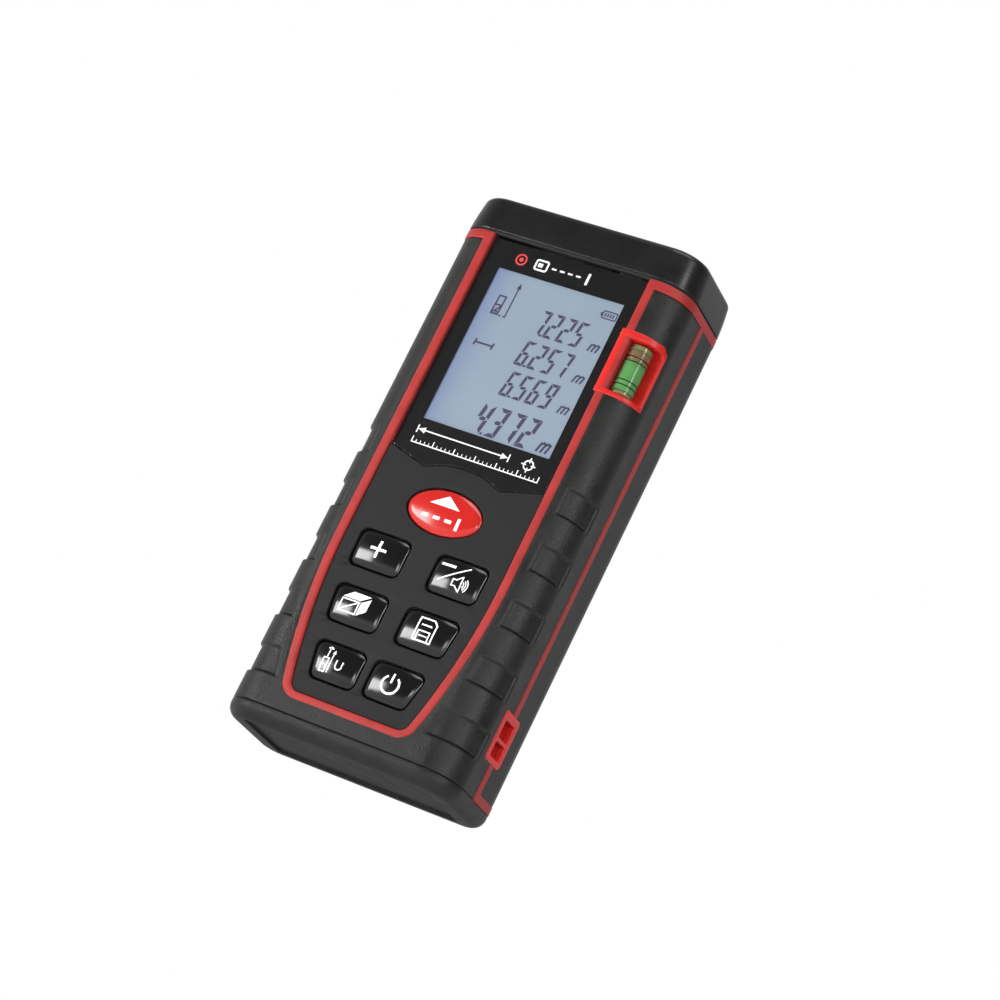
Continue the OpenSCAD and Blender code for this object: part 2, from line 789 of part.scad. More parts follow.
module battery_door() {
    color(black) difference() {
        union() {
            slab(door_y) polygon(rounded(box_points([-door_half, door_z[0]], [door_half, door_z[1]]), 1.1));
            block([-hinge_half, door_y[0], door_z[1] - 2], [hinge_half, door_y[1], hinge_z - 0.7]);
            hinge_rod(hinge_r, hinge_half);
            hinge_rod(pin_r, hinge_half + 1.8);
        }
        // Slots that free the latch tongue, and its grip grooves.
        for (x = [-5.6, 5]) {
            block([x, door_y[0] - 1, door_z[0] - 1], [x + 0.6, big, door_z[0] + 9]);
        }
        for (i = [0:3]) {
            low = door_z[0] + 1.8 + 1.5 * i;
            block([-3.8, door_y[1] - 0.35, low], [3.8, big, low + 0.7]);
        }
    }
}

module cell(x, low, up) {
    translate([x, cell_y, low]) mirror([0, 0, up ? 0 : 1]) translate([0, 0, up ? 0 : -cell_l]) {
        cylinder(r = cell_d / 2, h = cell_l - 0.8);
        cylinder(r = 1.9, h = cell_l);
    }
}

module battery_1() {
    color([0.25, 0.35, 0.6]) cell(-cell_x, bay_z[0] + plate_t + spring_l, true);
}

module battery_2() {
    color([0.25, 0.35, 0.6]) cell(cell_x, bay_z[0] + plate_t, false);
}

// Wire coil about Z: rings of eight points, one after another along a helix.
module coil(r, wire, length, turns) {
    steps = turns * 14;
    sides = 8;
    points = [for (i = [0:steps], j = [0:sides - 1])
        let (a = 360 * turns * i / steps, b = 360 * j / sides, out = r + wire * cos(b))
        [out * cos(a), out * sin(a), wire + (length - 2 * wire) * i / steps + wire * sin(b)]];
    walls = [for (i = [0:steps - 1], j = [0:sides - 1]) let (k = (j + 1) % sides)
        [i * sides + j, (i + 1) * sides + j, (i + 1) * sides + k, i * sides + k]];
    ends = [[for (j = [0:sides - 1]) j], [for (j = [sides - 1:-1:0]) steps * sides + j]];
    polyhedron(points, concat(walls, ends), convexity = 6);
}

module battery_springs() {
    color([0.75, 0.75, 0.74]) {
        translate([-cell_x, cell_y, bay_z[0] + plate_t]) coil(2.6, 0.3, spring_l, 3);
        translate([cell_x, cell_y, bay_z[1] - plate_t - spring_l]) coil(2.6, 0.3, spring_l, 3);
    }
}

module battery_plates() {
    color([0.75, 0.75, 0.74]) {
        block([-bay_half + 0.6, 1, bay_z[0]], [bay_half - 0.6, 9.4, bay_z[0] + plate_t]);
        for (x = [-cell_x, cell_x]) {
            block([x - 4.2, 1, bay_z[1] - plate_t], [x + 4.2, 9.4, bay_z[1]]);
        }
    }
}

// Pan-head screw along -Y with a cross recess, its head resting on y.
module screw(x, z, r, length, head_r, head_h, y) {
    difference() {
        union() {
            rod(x, z, r, [y - length, y + eps]);
            rod(x, z, head_r, [y, y + head_h]);
        }
        for (a = [0, 90]) {
            translate([x, y + head_h, z]) rotate([0, a, 0]) cube([head_r * 1.2, 1.2, 0.45], center = true);
        }
    }
}

module case_screws() {
    color([0.3, 0.3, 0.32]) for (x = [-screw_x, screw_x], z = screw_zs) {
        screw(x, z, 1, 8, 2, 1.4, y_screw);
    }
}

module pcb_screws() {
    color([0.7, 0.7, 0.72]) for (p = post_at) {
        screw(p[0], p[1], 0.75, 3.6, 1.5, 0.9, y_pcb_back);
    }
}

// These screws point the other way, out to the back.
module chassis_screws() {
    color([0.7, 0.7, 0.72]) for (p = ear_at) {
        translate([0, 14, 0]) mirror([0, 1, 0]) screw(p[0], p[1], 1, 4.4, 1.9, 1.2, 7);
    }
}

module rating_label() {
    color([0.5, 0.5, 0.52]) slab([y_back - 0.25, y_back - 0.1]) label_outline();
}

front_housing();
rear_housing();
grip_overmould();
end_cap();
cap_gasket();
optics_panel();
emitter_window();
receiver_lens();
lens_retainer();
optical_chassis();
laser_barrel();
laser_diode();
collimator_lens();
photodiode_board();
photodiode();
flex_cable();
main_pcb();
processor_chip();
rf_shield();
buzzer();
tact_switches();
zebra_connector();
lcd_glass();
lcd_backlight();
lcd_bracket();
display_window();
window_tape();
face_plate();
key_mat();
read_key();
plus_key();
minus_key();
area_key();
save_key();
reference_key();
clear_key();
vial_tube();
vial_liquid();
vial_bubble();
vial_plugs();
lanyard_eyelet();
battery_door();
battery_1();
battery_2();
battery_springs();
battery_plates();
case_screws();
pcb_screws();
chassis_screws();
rating_label();
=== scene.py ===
import math

import bmesh
import bpy
import numpy as np
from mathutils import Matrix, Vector, geometry

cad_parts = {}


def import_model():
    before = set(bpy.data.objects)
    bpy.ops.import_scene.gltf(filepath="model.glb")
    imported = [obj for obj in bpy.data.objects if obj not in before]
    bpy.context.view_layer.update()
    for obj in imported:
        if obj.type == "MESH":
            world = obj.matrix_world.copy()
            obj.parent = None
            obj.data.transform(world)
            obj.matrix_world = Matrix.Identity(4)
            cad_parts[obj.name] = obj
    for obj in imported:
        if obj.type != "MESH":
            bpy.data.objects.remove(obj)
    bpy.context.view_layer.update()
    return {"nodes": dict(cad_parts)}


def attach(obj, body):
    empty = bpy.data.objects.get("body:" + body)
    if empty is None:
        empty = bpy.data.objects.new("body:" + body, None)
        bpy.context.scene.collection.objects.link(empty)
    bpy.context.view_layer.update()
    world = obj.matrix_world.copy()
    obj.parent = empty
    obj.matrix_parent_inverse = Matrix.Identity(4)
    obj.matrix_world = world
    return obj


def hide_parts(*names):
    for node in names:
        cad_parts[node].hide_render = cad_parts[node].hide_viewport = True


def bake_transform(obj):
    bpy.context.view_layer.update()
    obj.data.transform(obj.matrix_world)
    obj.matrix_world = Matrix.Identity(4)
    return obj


MM = 0.001
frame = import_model()

# ------------------------------------------------------------------ sizes
HALF, SIDE = 25.0, 24.9  # half widths of the red housing and of the grip on it
# Depths, from the display side to the back.
Y_KEY, Y_BEAD, Y_GRIP, Y_WINDOW, Y_PLATE = -12.5, -12.3, -12.15, -12.0, -11.8
Y_WALL, Y_GLASS, Y_BACK = -11.1, -11.05, 12.5
FRONT_R, BACK_R, FOOT_R = 7.0, 5.0, 2.5
LINE_Y = (-0.05, 1.65)  # the red side lines
FOOT_PLATE, RING, CAP = (3.1, 4.9), (102.3, 104.2), (104.5, 112.0)
BEZEL_HALF, BEZEL_LINE, BEND_Z, BEND_R = 16.85, 1.85, 40.0, 118.0
LCD_X, LCD_Z, LCD_W, LCD_H = 0.4, 81.5, 27.4, 33.0
READ_SIZE, READ_Z = (15.5, 8.7), 48.7
ROW_Z, ROW_PITCH, KEY_H, KEY_WIDTHS, KEY_R = 37.55, 11.25, 7.3, (10.6, 10.8, 10.0), 1.3
KEY_GAP, KEY_INSET = 0.25, 3.15
OPTIC_Y, LENS_X, LENS_R, LASER_X = 2.0, -6.8, 6.9, 9.8
VIAL_X, VIAL_Y, VIAL_R, BORE_R, VIAL_Z, PLUG_T = 20.5, -9.2, 2.3, 1.85, (81.2, 91.4), 0.8
BUBBLE_Z = (88.2, 90.5)
POCKET_Z, POCKET_LEFT, POCKET_BACK, TUB_Z = (80.0, 93.4), 16.3, -7.2, (81.15, 91.45)
EYELET_Y, EYELET_Z = (-3.8, 4.2), (10.4, 20.4)
# The finger pockets of the grip, from the uppermost down, and the groove over the foot.
GRIP_POCKETS, GRIP_PITCH, GRIP_TOP, GRIP_H, GRIP_DEPTH, GRIP_END = 5, 11.6, 61.0, 5.8, 0.5, -5.4
GROOVE_Z = 3.26
ARCH_HALF, ARCH_RISE, ARCH_Z = 8.0, 1.9, 56.0


# ------------------------------------------------------------------ plane geometry
def unit(v):
    n = math.hypot(v[0], v[1])
    return (v[0] / n, v[1] / n)


def rounded(pts, r, n=8):
    """A polygon with every corner rounded to radius r (or to its own radius where r is a list)."""
    out = []
    count = len(pts)
    for i in range(count):
        a, b, c = pts[i - 1], pts[i], pts[(i + 1) % count]
        radius = r[i] if isinstance(r, (list, tuple)) else r
        if radius <= 0:
            out.append(b)
            continue
        u, v = unit((a[0] - b[0], a[1] - b[1])), unit((c[0] - b[0], c[1] - b[1]))
        half = math.acos(max(-1, min(1, u[0] * v[0] + u[1] * v[1]))) / 2
        w = unit((u[0] + v[0], u[1] + v[1]))
        m = (b[0] + w[0] * radius / math.sin(half), b[1] + w[1] * radius / math.sin(half))
        d = radius / math.tan(half)
        p, q = (b[0] + u[0] * d, b[1] + u[1] * d), (b[0] + v[0] * d, b[1] + v[1] * d)
        start = math.atan2(p[1] - m[1], p[0] - m[0])
        sweep = math.atan2(q[1] - m[1], q[0] - m[0]) - start
        sweep = (sweep + math.pi) % (2 * math.pi) - math.pi
        for k in range(n + 1):
            t = start + sweep * k / n
            out.append((m[0] + radius * math.cos(t), m[1] + radius * math.sin(t)))
    return out


def run_length(p):
    """How far along an open line each of its points lies."""
    return np.concatenate([[0], np.cumsum(np.hypot(*np.diff(p, axis=0).T))])


def resample(pts, n):
    """The same line with n points, evenly spaced."""
    p = np.array(pts, float)
    run = run_length(p)
    at = np.linspace(0, run[-1], n)
    return np.stack([np.interp(at, run, p[:, 0]), np.interp(at, run, p[:, 1])], 1)


def box_points(lo, hi):
    return [(lo[0], lo[1]), (hi[0], lo[1]), (hi[0], hi[1]), (lo[0], hi[1])]


def divided(pts, step, closed=True):
    """The same line with no piece of it longer than step."""
    out = []
    count = len(pts)
    for i in range(count if closed else count - 1):
        a, b = pts[i], pts[(i + 1) % count]
        n = max(1, math.ceil(math.dist(a, b) / step))
        out += [tuple(a[k] + (b[k] - a[k]) * j / n for k in range(len(a))) for j in range(n)]
    return out if closed else out + [pts[-1]]


def signed_area(pts):
    return sum(a[0] * b[1] - b[0] * a[1] for a, b in zip(pts, pts[1:] + pts[:1])) / 2


def offset(pts, d):
    """A loop moved inwards by d, or outwards where d is negative."""
    s = 1 if signed_area(pts) > 0 else -1
    out = []
    count = len(pts)
    for i in range(count):
        a, b, c = pts[i - 1], pts[i], pts[(i + 1) % count]
        e, f = unit((b[0] - a[0], b[1] - a[1])), unit((c[0] - b[0], c[1] - b[1]))
        n1, n2 = (-e[1] * s, e[0] * s), (-f[1] * s, f[0] * s)
        m = (n1[0] + n2[0], n1[1] + n2[1])
        k = d / max(0.25, m[0] * n1[0] + m[1] * n1[1])
        out.append((b[0] + m[0] * k, b[1] + m[1] * k))
    return out


def arc_points(cx, cy, r, a0, a1, n=16):
    angles = [math.radians(a0 + (a1 - a0) * i / n) for i in range(n + 1)]
    return [(cx + r * math.cos(a), cy + r * math.sin(a)) for a in angles]


def circle(cx, cy, r, n=64):
    return arc_points(cx, cy, r, 0, 360, n)[:-1]


def inside(px, py, loop):
    """For arrays of points, whether each is inside the loop."""
    result = np.zeros(px.shape, bool)
    for (x1, y1), (x2, y2) in zip(loop, loop[1:] + loop[:1]):
        if y1 != y2:
            cross = (y1 > py) != (y2 > py)
            result ^= cross & (px < (x2 - x1) * (py - y1) / (y2 - y1) + x1)
    return result


def smooth(t):
    t = np.clip(t, 0, 1)
    return t * t * (3 - 2 * t)


def ramp(t):
    """A straight slope from 0 to 1 with short rounded ends."""
    return (smooth(t) + 3 * np.clip(t, 0, 1)) / 4


def bezel_x(half, z):
    """How far out the bezel's side is at height z: upright above the bend, and drawn in below it."""
    z = np.asarray(z, float)
    return np.where(z > BEND_Z, half, half - BEND_R + np.sqrt(BEND_R**2 - (BEND_Z - z) ** 2))


def bezel_side(half, low, r):
    """The right side of the bezel's outline, from the bend down and round its lower corner."""
    cz = low + r
    cx = half - BEND_R + math.sqrt((BEND_R - r) ** 2 - (BEND_Z - cz) ** 2)
    end = math.degrees(math.atan2(cz - BEND_Z, cx - half + BEND_R))
    return arc_points(half - BEND_R, BEND_Z, BEND_R, 0, end) + arc_points(cx, cz, r, end, -90)[1:]


def mirrored(pts):
    return [(-x, z) for x, z in reversed(pts)]


def arch(drop):
    """The shallow arch in the window's lower edge, from left to right."""
    r = (ARCH_HALF**2 + ARCH_RISE**2) / (2 * ARCH_RISE)
    reach = math.degrees(math.asin(ARCH_HALF / r))
    return arc_points(0, ARCH_Z + ARCH_RISE - r - drop, r, 90 + reach, 90 - reach, 24)


def key_row_z(row):
    return ROW_Z - ROW_PITCH * row


def key_out(z):
    """Where the keys' outer edge is at height z: it follows the bezel."""
    return float(bezel_x(BEZEL_HALF, z)) - KEY_INSET


def key_outline(row, side, grow=0.0):
    z, h = key_row_z(row), KEY_H / 2 + grow
    inner = key_out(z) - KEY_WIDTHS[row] - grow
    pts = [(inner, z - h), (key_out(z - h) + grow, z - h), (key_out(z + h) + grow, z + h), (inner, z + h)]
    loop = rounded(pts, KEY_R + grow, 10)
    return loop if side > 0 else mirrored(loop)


def key_centre(row, side):
    z = key_row_z(row)
    return (side * (key_out(z) - KEY_WIDTHS[row] / 2), z)


def oval(grow=0.0):
    """The read key's outline."""
    w, h = READ_SIZE[0] / 2 + grow, READ_SIZE[1] / 2 + grow
    return [(w * c, READ_Z + h * s) for c, s in circle(0, 0, 1, 96)]


def section_path(half, front, step, arc_step, seam=None):
    """Points and outward normals round the body's section, anticlockwise seen from above. It is closed, or
    with a seam it runs from the left side at y = seam along the display side to the right side."""
    pieces = []

    def line(a, b):
        d = unit((b[0] - a[0], b[1] - a[1]))
        points = divided([a, b], step, False)[:-1]
        pieces.extend((x, y, d[1], -d[0]) for x, y in points)

    def arc(cx, cy, r, start):
        for c, s in arc_points(0, 0, 1, start, start + 90, math.ceil(90 / arc_step))[:-1]:
            pieces.append((cx + r * c, cy + r * s, c, s))

    end = Y_BACK - BACK_R if seam is None else seam
    line((-half, end), (-half, front + FRONT_R))
    arc(-half + FRONT_R, front + FRONT_R, FRONT_R, 180)
    line((-half + FRONT_R, front), (half - FRONT_R, front))
    arc(half - FRONT_R, front + FRONT_R, FRONT_R, 270)
    line((half, front + FRONT_R), (half, end))
    if seam is None:
        arc(half - BACK_R, Y_BACK - BACK_R, BACK_R, 0)
        line((half - BACK_R, Y_BACK), (-half + BACK_R, Y_BACK))
        arc(-half + BACK_R, Y_BACK - BACK_R, BACK_R, 90)
    else:
        pieces.append((half, end, 1.0, 0.0))
    a = np.array(pieces)
    return a[:, :2], a[:, 2:]


def inset_ring(path, inset, z):
    """A section path's points moved inwards, at one height or at a height for each point."""
    pts, nor = path
    return np.column_stack([pts - nor * inset, np.full(len(pts), z)]).tolist()


# ------------------------------------------------------------------ meshes
# Where a drawing's two axes and its depth go: x, y and z for a face to the front, to a side and upwards.
FRONT = lambda a, b, d: (a, d, b)
SIDEWAYS = lambda a, b, d: (d, a, b)
UPWARDS = lambda a, b, d: (a, b, d)
FILL_AXES = {FRONT: (0, 2), SIDEWAYS: (1, 2), UPWARDS: (0, 1)}


class Shape:
    """Vertices and faces of one piece, gathered in millimetres."""

    def __init__(self):
        self.v, self.f = [], []

    def add(self, pts):
        first = len(self.v)
        self.v.extend(tuple(map(float, p)) for p in pts)
        return list(range(first, first + len(pts)))

    def strip(self, a, b, closed=True):
        n = len(a)
        for i in range(n if closed else n - 1):
            j = (i + 1) % n
            self.f.append((a[i], a[j], b[j], b[i]))

    def fill(self, loops, axes=(0, 1)):
        """Fills the first loop, less the others, with triangles in the plane of the two axes."""
        flat = [[Vector((self.v[i][axes[0]], self.v[i][axes[1]])) for i in loop] for loop in loops]
        ids = [i for loop in loops for i in loop]
        for tri in geometry.tessellate_polygon(flat):
            if len({ids[k] for k in tri}) == 3:
                self.f.append(tuple(ids[k] for k in tri))

    def rings(self, rings, closed=True):
        loops = [self.add(r) for r in rings]
        for a, b in zip(loops, loops[1:]):
            self.strip(a, b, closed)
        return loops

    def plate(self, place, outline, holes, face_d, back_d, bevel=0.0, steps=3, hole_bevel=None, back=True):
        """A flat piece with its face at depth face_d and its back at back_d. The face's edges are rounded."""
        sign = 1 if back_d > face_d else -1
        face_loops, back_loops = [], []
        for k, loop in enumerate([outline] + list(holes)):
            b = hole_bevel if k and hole_bevel is not None else bevel
            rows = []
            for s in range(steps + 1 if b > 0 else 1):
                a = math.pi / 2 * s / steps
                inset, depth = b * (1 - math.sin(a)), b * (1 - math.cos(a))
                edge = offset(loop, inset if k == 0 else -inset)
                rows.append([place(x, y, face_d + sign * depth) for x, y in edge])
            rows.append([place(x, y, back_d) for x, y in loop])
            made = self.rings(rows)
            face_loops.append(made[0])
            back_loops.append(made[-1])
        self.fill(face_loops, FILL_AXES[place])
        if back:
            self.fill(back_loops, FILL_AXES[place])


def scene_object(name, data):
    obj = bpy.data.objects.new(name, data)
    bpy.context.scene.collection.objects.link(obj)
    return obj


def finish_mesh(name, shape, material, body, replaces=(), angle=38, recalc=True, weighted=True):
    """Makes a shape an object that rides on a body. Edges sharper than angle, in degrees, stay sharp."""
    mesh = bpy.data.meshes.new(name)
    mesh.from_pydata([(x * MM, y * MM, z * MM) for x, y, z in shape.v], [], shape.f)
    mesh.materials.append(MATERIALS[material])
    bm = bmesh.new()
    bm.from_mesh(mesh)
    bmesh.ops.remove_doubles(bm, verts=bm.verts, dist=2e-7)
    if recalc:
        bmesh.ops.recalc_face_normals(bm, faces=bm.faces)
    bm.to_mesh(mesh)
    bm.free()
    mesh.shade_smooth()
    mesh.set_sharp_from_angle(angle=math.radians(angle))
    obj = scene_object(name, mesh)
    if weighted:
        obj.modifiers.new("weighted", "WEIGHTED_NORMAL").keep_sharp = True
    if body:
        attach(obj, body)
    if replaces:
        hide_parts(*replaces)
    return obj


# ------------------------------------------------------------------ materials
class Nodes:
    """The node tree of a material, or of the world, with short calls for the nodes it needs."""

    def __init__(self, owner, kind="Material"):
        owner.use_nodes = True
        self.owner, self.tree = owner, owner.node_tree
        self.tree.nodes.clear()
        self.out = self.new("ShaderNodeOutput" + kind)
        coord = self.new("ShaderNodeTexCoord")
        self.coord = coord.outputs["Object" if kind == "Material" else "Generated"]

    def new(self, kind, **inputs):
        node = self.tree.nodes.new(kind)
        for key, value in inputs.items():
            self.put(node.inputs[key.replace("_", " ")], value)
        return node

    def put(self, socket, value):
        if isinstance(value, bpy.types.NodeSocket):
            self.tree.links.new(value, socket)
        else:
            socket.default_value = value

    def fed(self, kind, *values, **settings):
        """A node with its first inputs fed in order."""
        node = self.tree.nodes.new(kind)
        for key, value in settings.items():
            setattr(node, key, value)
        for socket, value in zip(node.inputs, values):
            self.put(socket, value)
        return node.outputs[0]

    def noise(self, scale, detail=3.0, rough=0.55, distortion=0.0):
        return self.new("ShaderNodeTexNoise", Vector=self.coord, Scale=scale, Detail=detail, Roughness=rough,
                        Distortion=distortion).outputs["Fac"]

    def spread(self, value, lo, hi, to_lo, to_hi, curve="LINEAR"):
        return self.fed("ShaderNodeMapRange", value, lo, hi, to_lo, to_hi, interpolation_type=curve)

    def math(self, kind, a, b):
        return self.fed("ShaderNodeMath", a, b, operation=kind)

    def either(self, share, a, b):
        """Shader a, with this share of it given over to shader b."""
        return self.fed("ShaderNodeMixShader", share, a, b)

    def vector(self, kind, *values):
        node = self.fed("ShaderNodeVectorMath", *values, operation=kind).node
        return node.outputs["Value"]

    def shader(self, kind, **inputs):
        return self.new("ShaderNode" + kind, **inputs).outputs[0]

    def mix(self, share, a, b):
        node = self.new("ShaderNodeMix")
        node.data_type = "RGBA"
        for k, value in ((0, share), (6, a), (7, b)):
            self.put(node.inputs[k], value)
        return node.outputs[2]

    def bump(self, height, distance, normal=None):
        node = self.new("ShaderNodeBump", Height=height, Distance=distance, Strength=1.0)
        if normal is not None:
            self.put(node.inputs["Normal"], normal)
        return node.outputs["Normal"]

    def edges(self, radius):
        """1 on edges and 0 on the flat, with the rounded normal."""
        bevel = self.new("ShaderNodeBevel", Radius=radius * MM)
        bevel.samples = 4
        flat = self.new("ShaderNodeNewGeometry").outputs["Normal"]
        agree = self.vector("DOT_PRODUCT", bevel.outputs["Normal"], flat)
        return self.spread(agree, 0.9, 0.995, 1.0, 0.0), bevel.outputs["Normal"]

    def facing_away(self):
        return self.new("ShaderNodeNewGeometry").outputs["Backfacing"]

    def surface(self, shader):
        self.put(self.out.inputs["Surface"], shader)
        return self.owner


def new_material(name):
    return Nodes(bpy.data.materials.new(name))


def rgb(r, g, b):
    return (r, g, b, 1.0)


def scaled(colour, k):
    return (min(1, colour[0] * k), min(1, colour[1] * k), min(1, colour[2] * k), 1.0)


def solid(name, colour, rough=0.5, spread=0.08, metal=0.0, grain=0.0, grain_mm=0.2, fleck=0.12, wear=0.0,
          round_mm=0.0, coat=0.0, spec=0.5, wave=0.0):
    """Plastic, rubber or metal with procedural tone, gloss and grain. grain and wave are heights in mm."""
    n = new_material(name)
    tone = n.noise(180.0, 4.0, 0.6)
    fine = n.noise(1.0 / (grain_mm * MM), 2.0, 0.5)
    base = n.mix(n.spread(tone, 0.3, 0.7, 0.0, 1.0), scaled(colour, 1 - fleck), scaled(colour, 1 + fleck))
    gloss = n.math("ADD", n.spread(tone, 0.25, 0.75, rough - spread, rough + spread),
                   n.spread(fine, 0.3, 0.7, -spread / 2, spread / 2))
    normal = None
    if wear > 0 or round_mm > 0:
        mask, soft = n.edges(max(round_mm, 0.2))
        if round_mm > 0:
            normal = soft
        chips = n.spread(n.noise(900.0, 5.0, 0.7), 0.42, 0.62, 0.0, 1.0)
        worn = n.math("MULTIPLY", n.math("MULTIPLY", mask, chips), wear)
        base = n.mix(worn, base, scaled(colour, 2.6))
        gloss = n.math("ADD", gloss, n.math("MULTIPLY", worn, 0.12))
    if wave > 0:
        normal = n.bump(n.noise(140.0, 2.0, 0.4), wave * MM, normal)
    if grain > 0:
        normal = n.bump(fine, grain * MM, normal)
    inputs = dict(Base_Color=base, Roughness=gloss, Metallic=metal, Specular_IOR_Level=spec, Coat_Weight=coat,
                  Coat_Roughness=0.06)
    if normal is not None:
        inputs["Normal"] = normal
    return n.surface(n.shader("BsdfPrincipled", **inputs))


def clear(name, tint, ior, rough, haze=None, smear=0.02):
    """Clear plastic or glass: see-through with a mirror-like skin. haze is its share and colour of haze."""
    n = new_material(name)
    # Only the outward side mirrors: light is not bent on its way in, so the inner side would trap it.
    fresnel = n.math("MULTIPLY", n.shader("Fresnel", IOR=ior), n.math("SUBTRACT", 1.0, n.facing_away()))
    inner = n.shader("BsdfTransparent", Color=tint)
    if haze:
        share, colour = haze
        amount = n.spread(n.noise(260.0, 3.0), 0.3, 0.7, share * 0.85, share * 1.15)
        inner = n.either(amount, inner, n.shader("BsdfDiffuse", Color=colour))
    smudge = n.spread(n.noise(70.0, 4.0, 0.6, distortion=0.6), 0.4, 0.7, rough, rough + smear)
    return n.surface(n.either(fresnel, inner, n.shader("BsdfGlossy", Color=rgb(1, 1, 1), Roughness=smudge)))


def printed(name, colour, rough=0.5, painted_glow=0.0):
    """Ink: slightly uneven in tone and cover. A value above zero for the last argument makes the ink emit
    painted light in its own colour.
    """
    n = new_material(name)
    tone = n.spread(n.noise(2500.0, 3.0, 0.7), 0.3, 0.7, 0.0, 1.0)
    base = n.mix(tone, scaled(colour, 0.9), scaled(colour, 1.06))
    inputs = dict(Base_Color=base, Roughness=n.spread(tone, 0, 1, rough - 0.06, rough + 0.06))
    # Painted light: the ink emits light in its own colour.
    if painted_glow:
        inputs.update(Emission_Color=base, Emission_Strength=painted_glow)
    return n.surface(n.shader("BsdfPrincipled", **inputs))


def display_face():
    """The display's blue-grey field, with painted shade: darker and bluer towards its left edge and its lower
    left corner, where the frame would shade it. The field also emits painted light in its own colour.
    """
    n = new_material("lcd_field")
    axes = n.new("ShaderNodeSeparateXYZ", Vector=n.coord).outputs
    # Painted shade: the field turns darker and bluer towards its left edge and its lower left corner.
    left = n.spread(axes[0], -13.3 * MM, -6.0 * MM, 1.0, 0.0)
    low = n.spread(axes[2], 65.0 * MM, 78.0 * MM, 0.6, 0.0)
    edge = n.math("MAXIMUM", n.math("MULTIPLY", left, left), n.math("MULTIPLY", left, low))
    cloud = n.spread(n.noise(60.0, 2.0, 0.4), 0.35, 0.65, -0.08, 0.08)
    base = n.mix(n.math("ADD", n.math("MULTIPLY", edge, 0.8), cloud), rgb(*LCD_LIGHT), rgb(*LCD_PAINTED_SHADE))
    gloss = n.spread(n.noise(400.0), 0.3, 0.7, 0.42, 0.55)
    # Painted light: the field emits light in its own colour, as if it were lit.
    return n.surface(n.shader("BsdfPrincipled", Base_Color=base, Roughness=gloss, Emission_Color=base,
                              Emission_Strength=0.35))


LCD_LIGHT = (0.178, 0.229, 0.283)
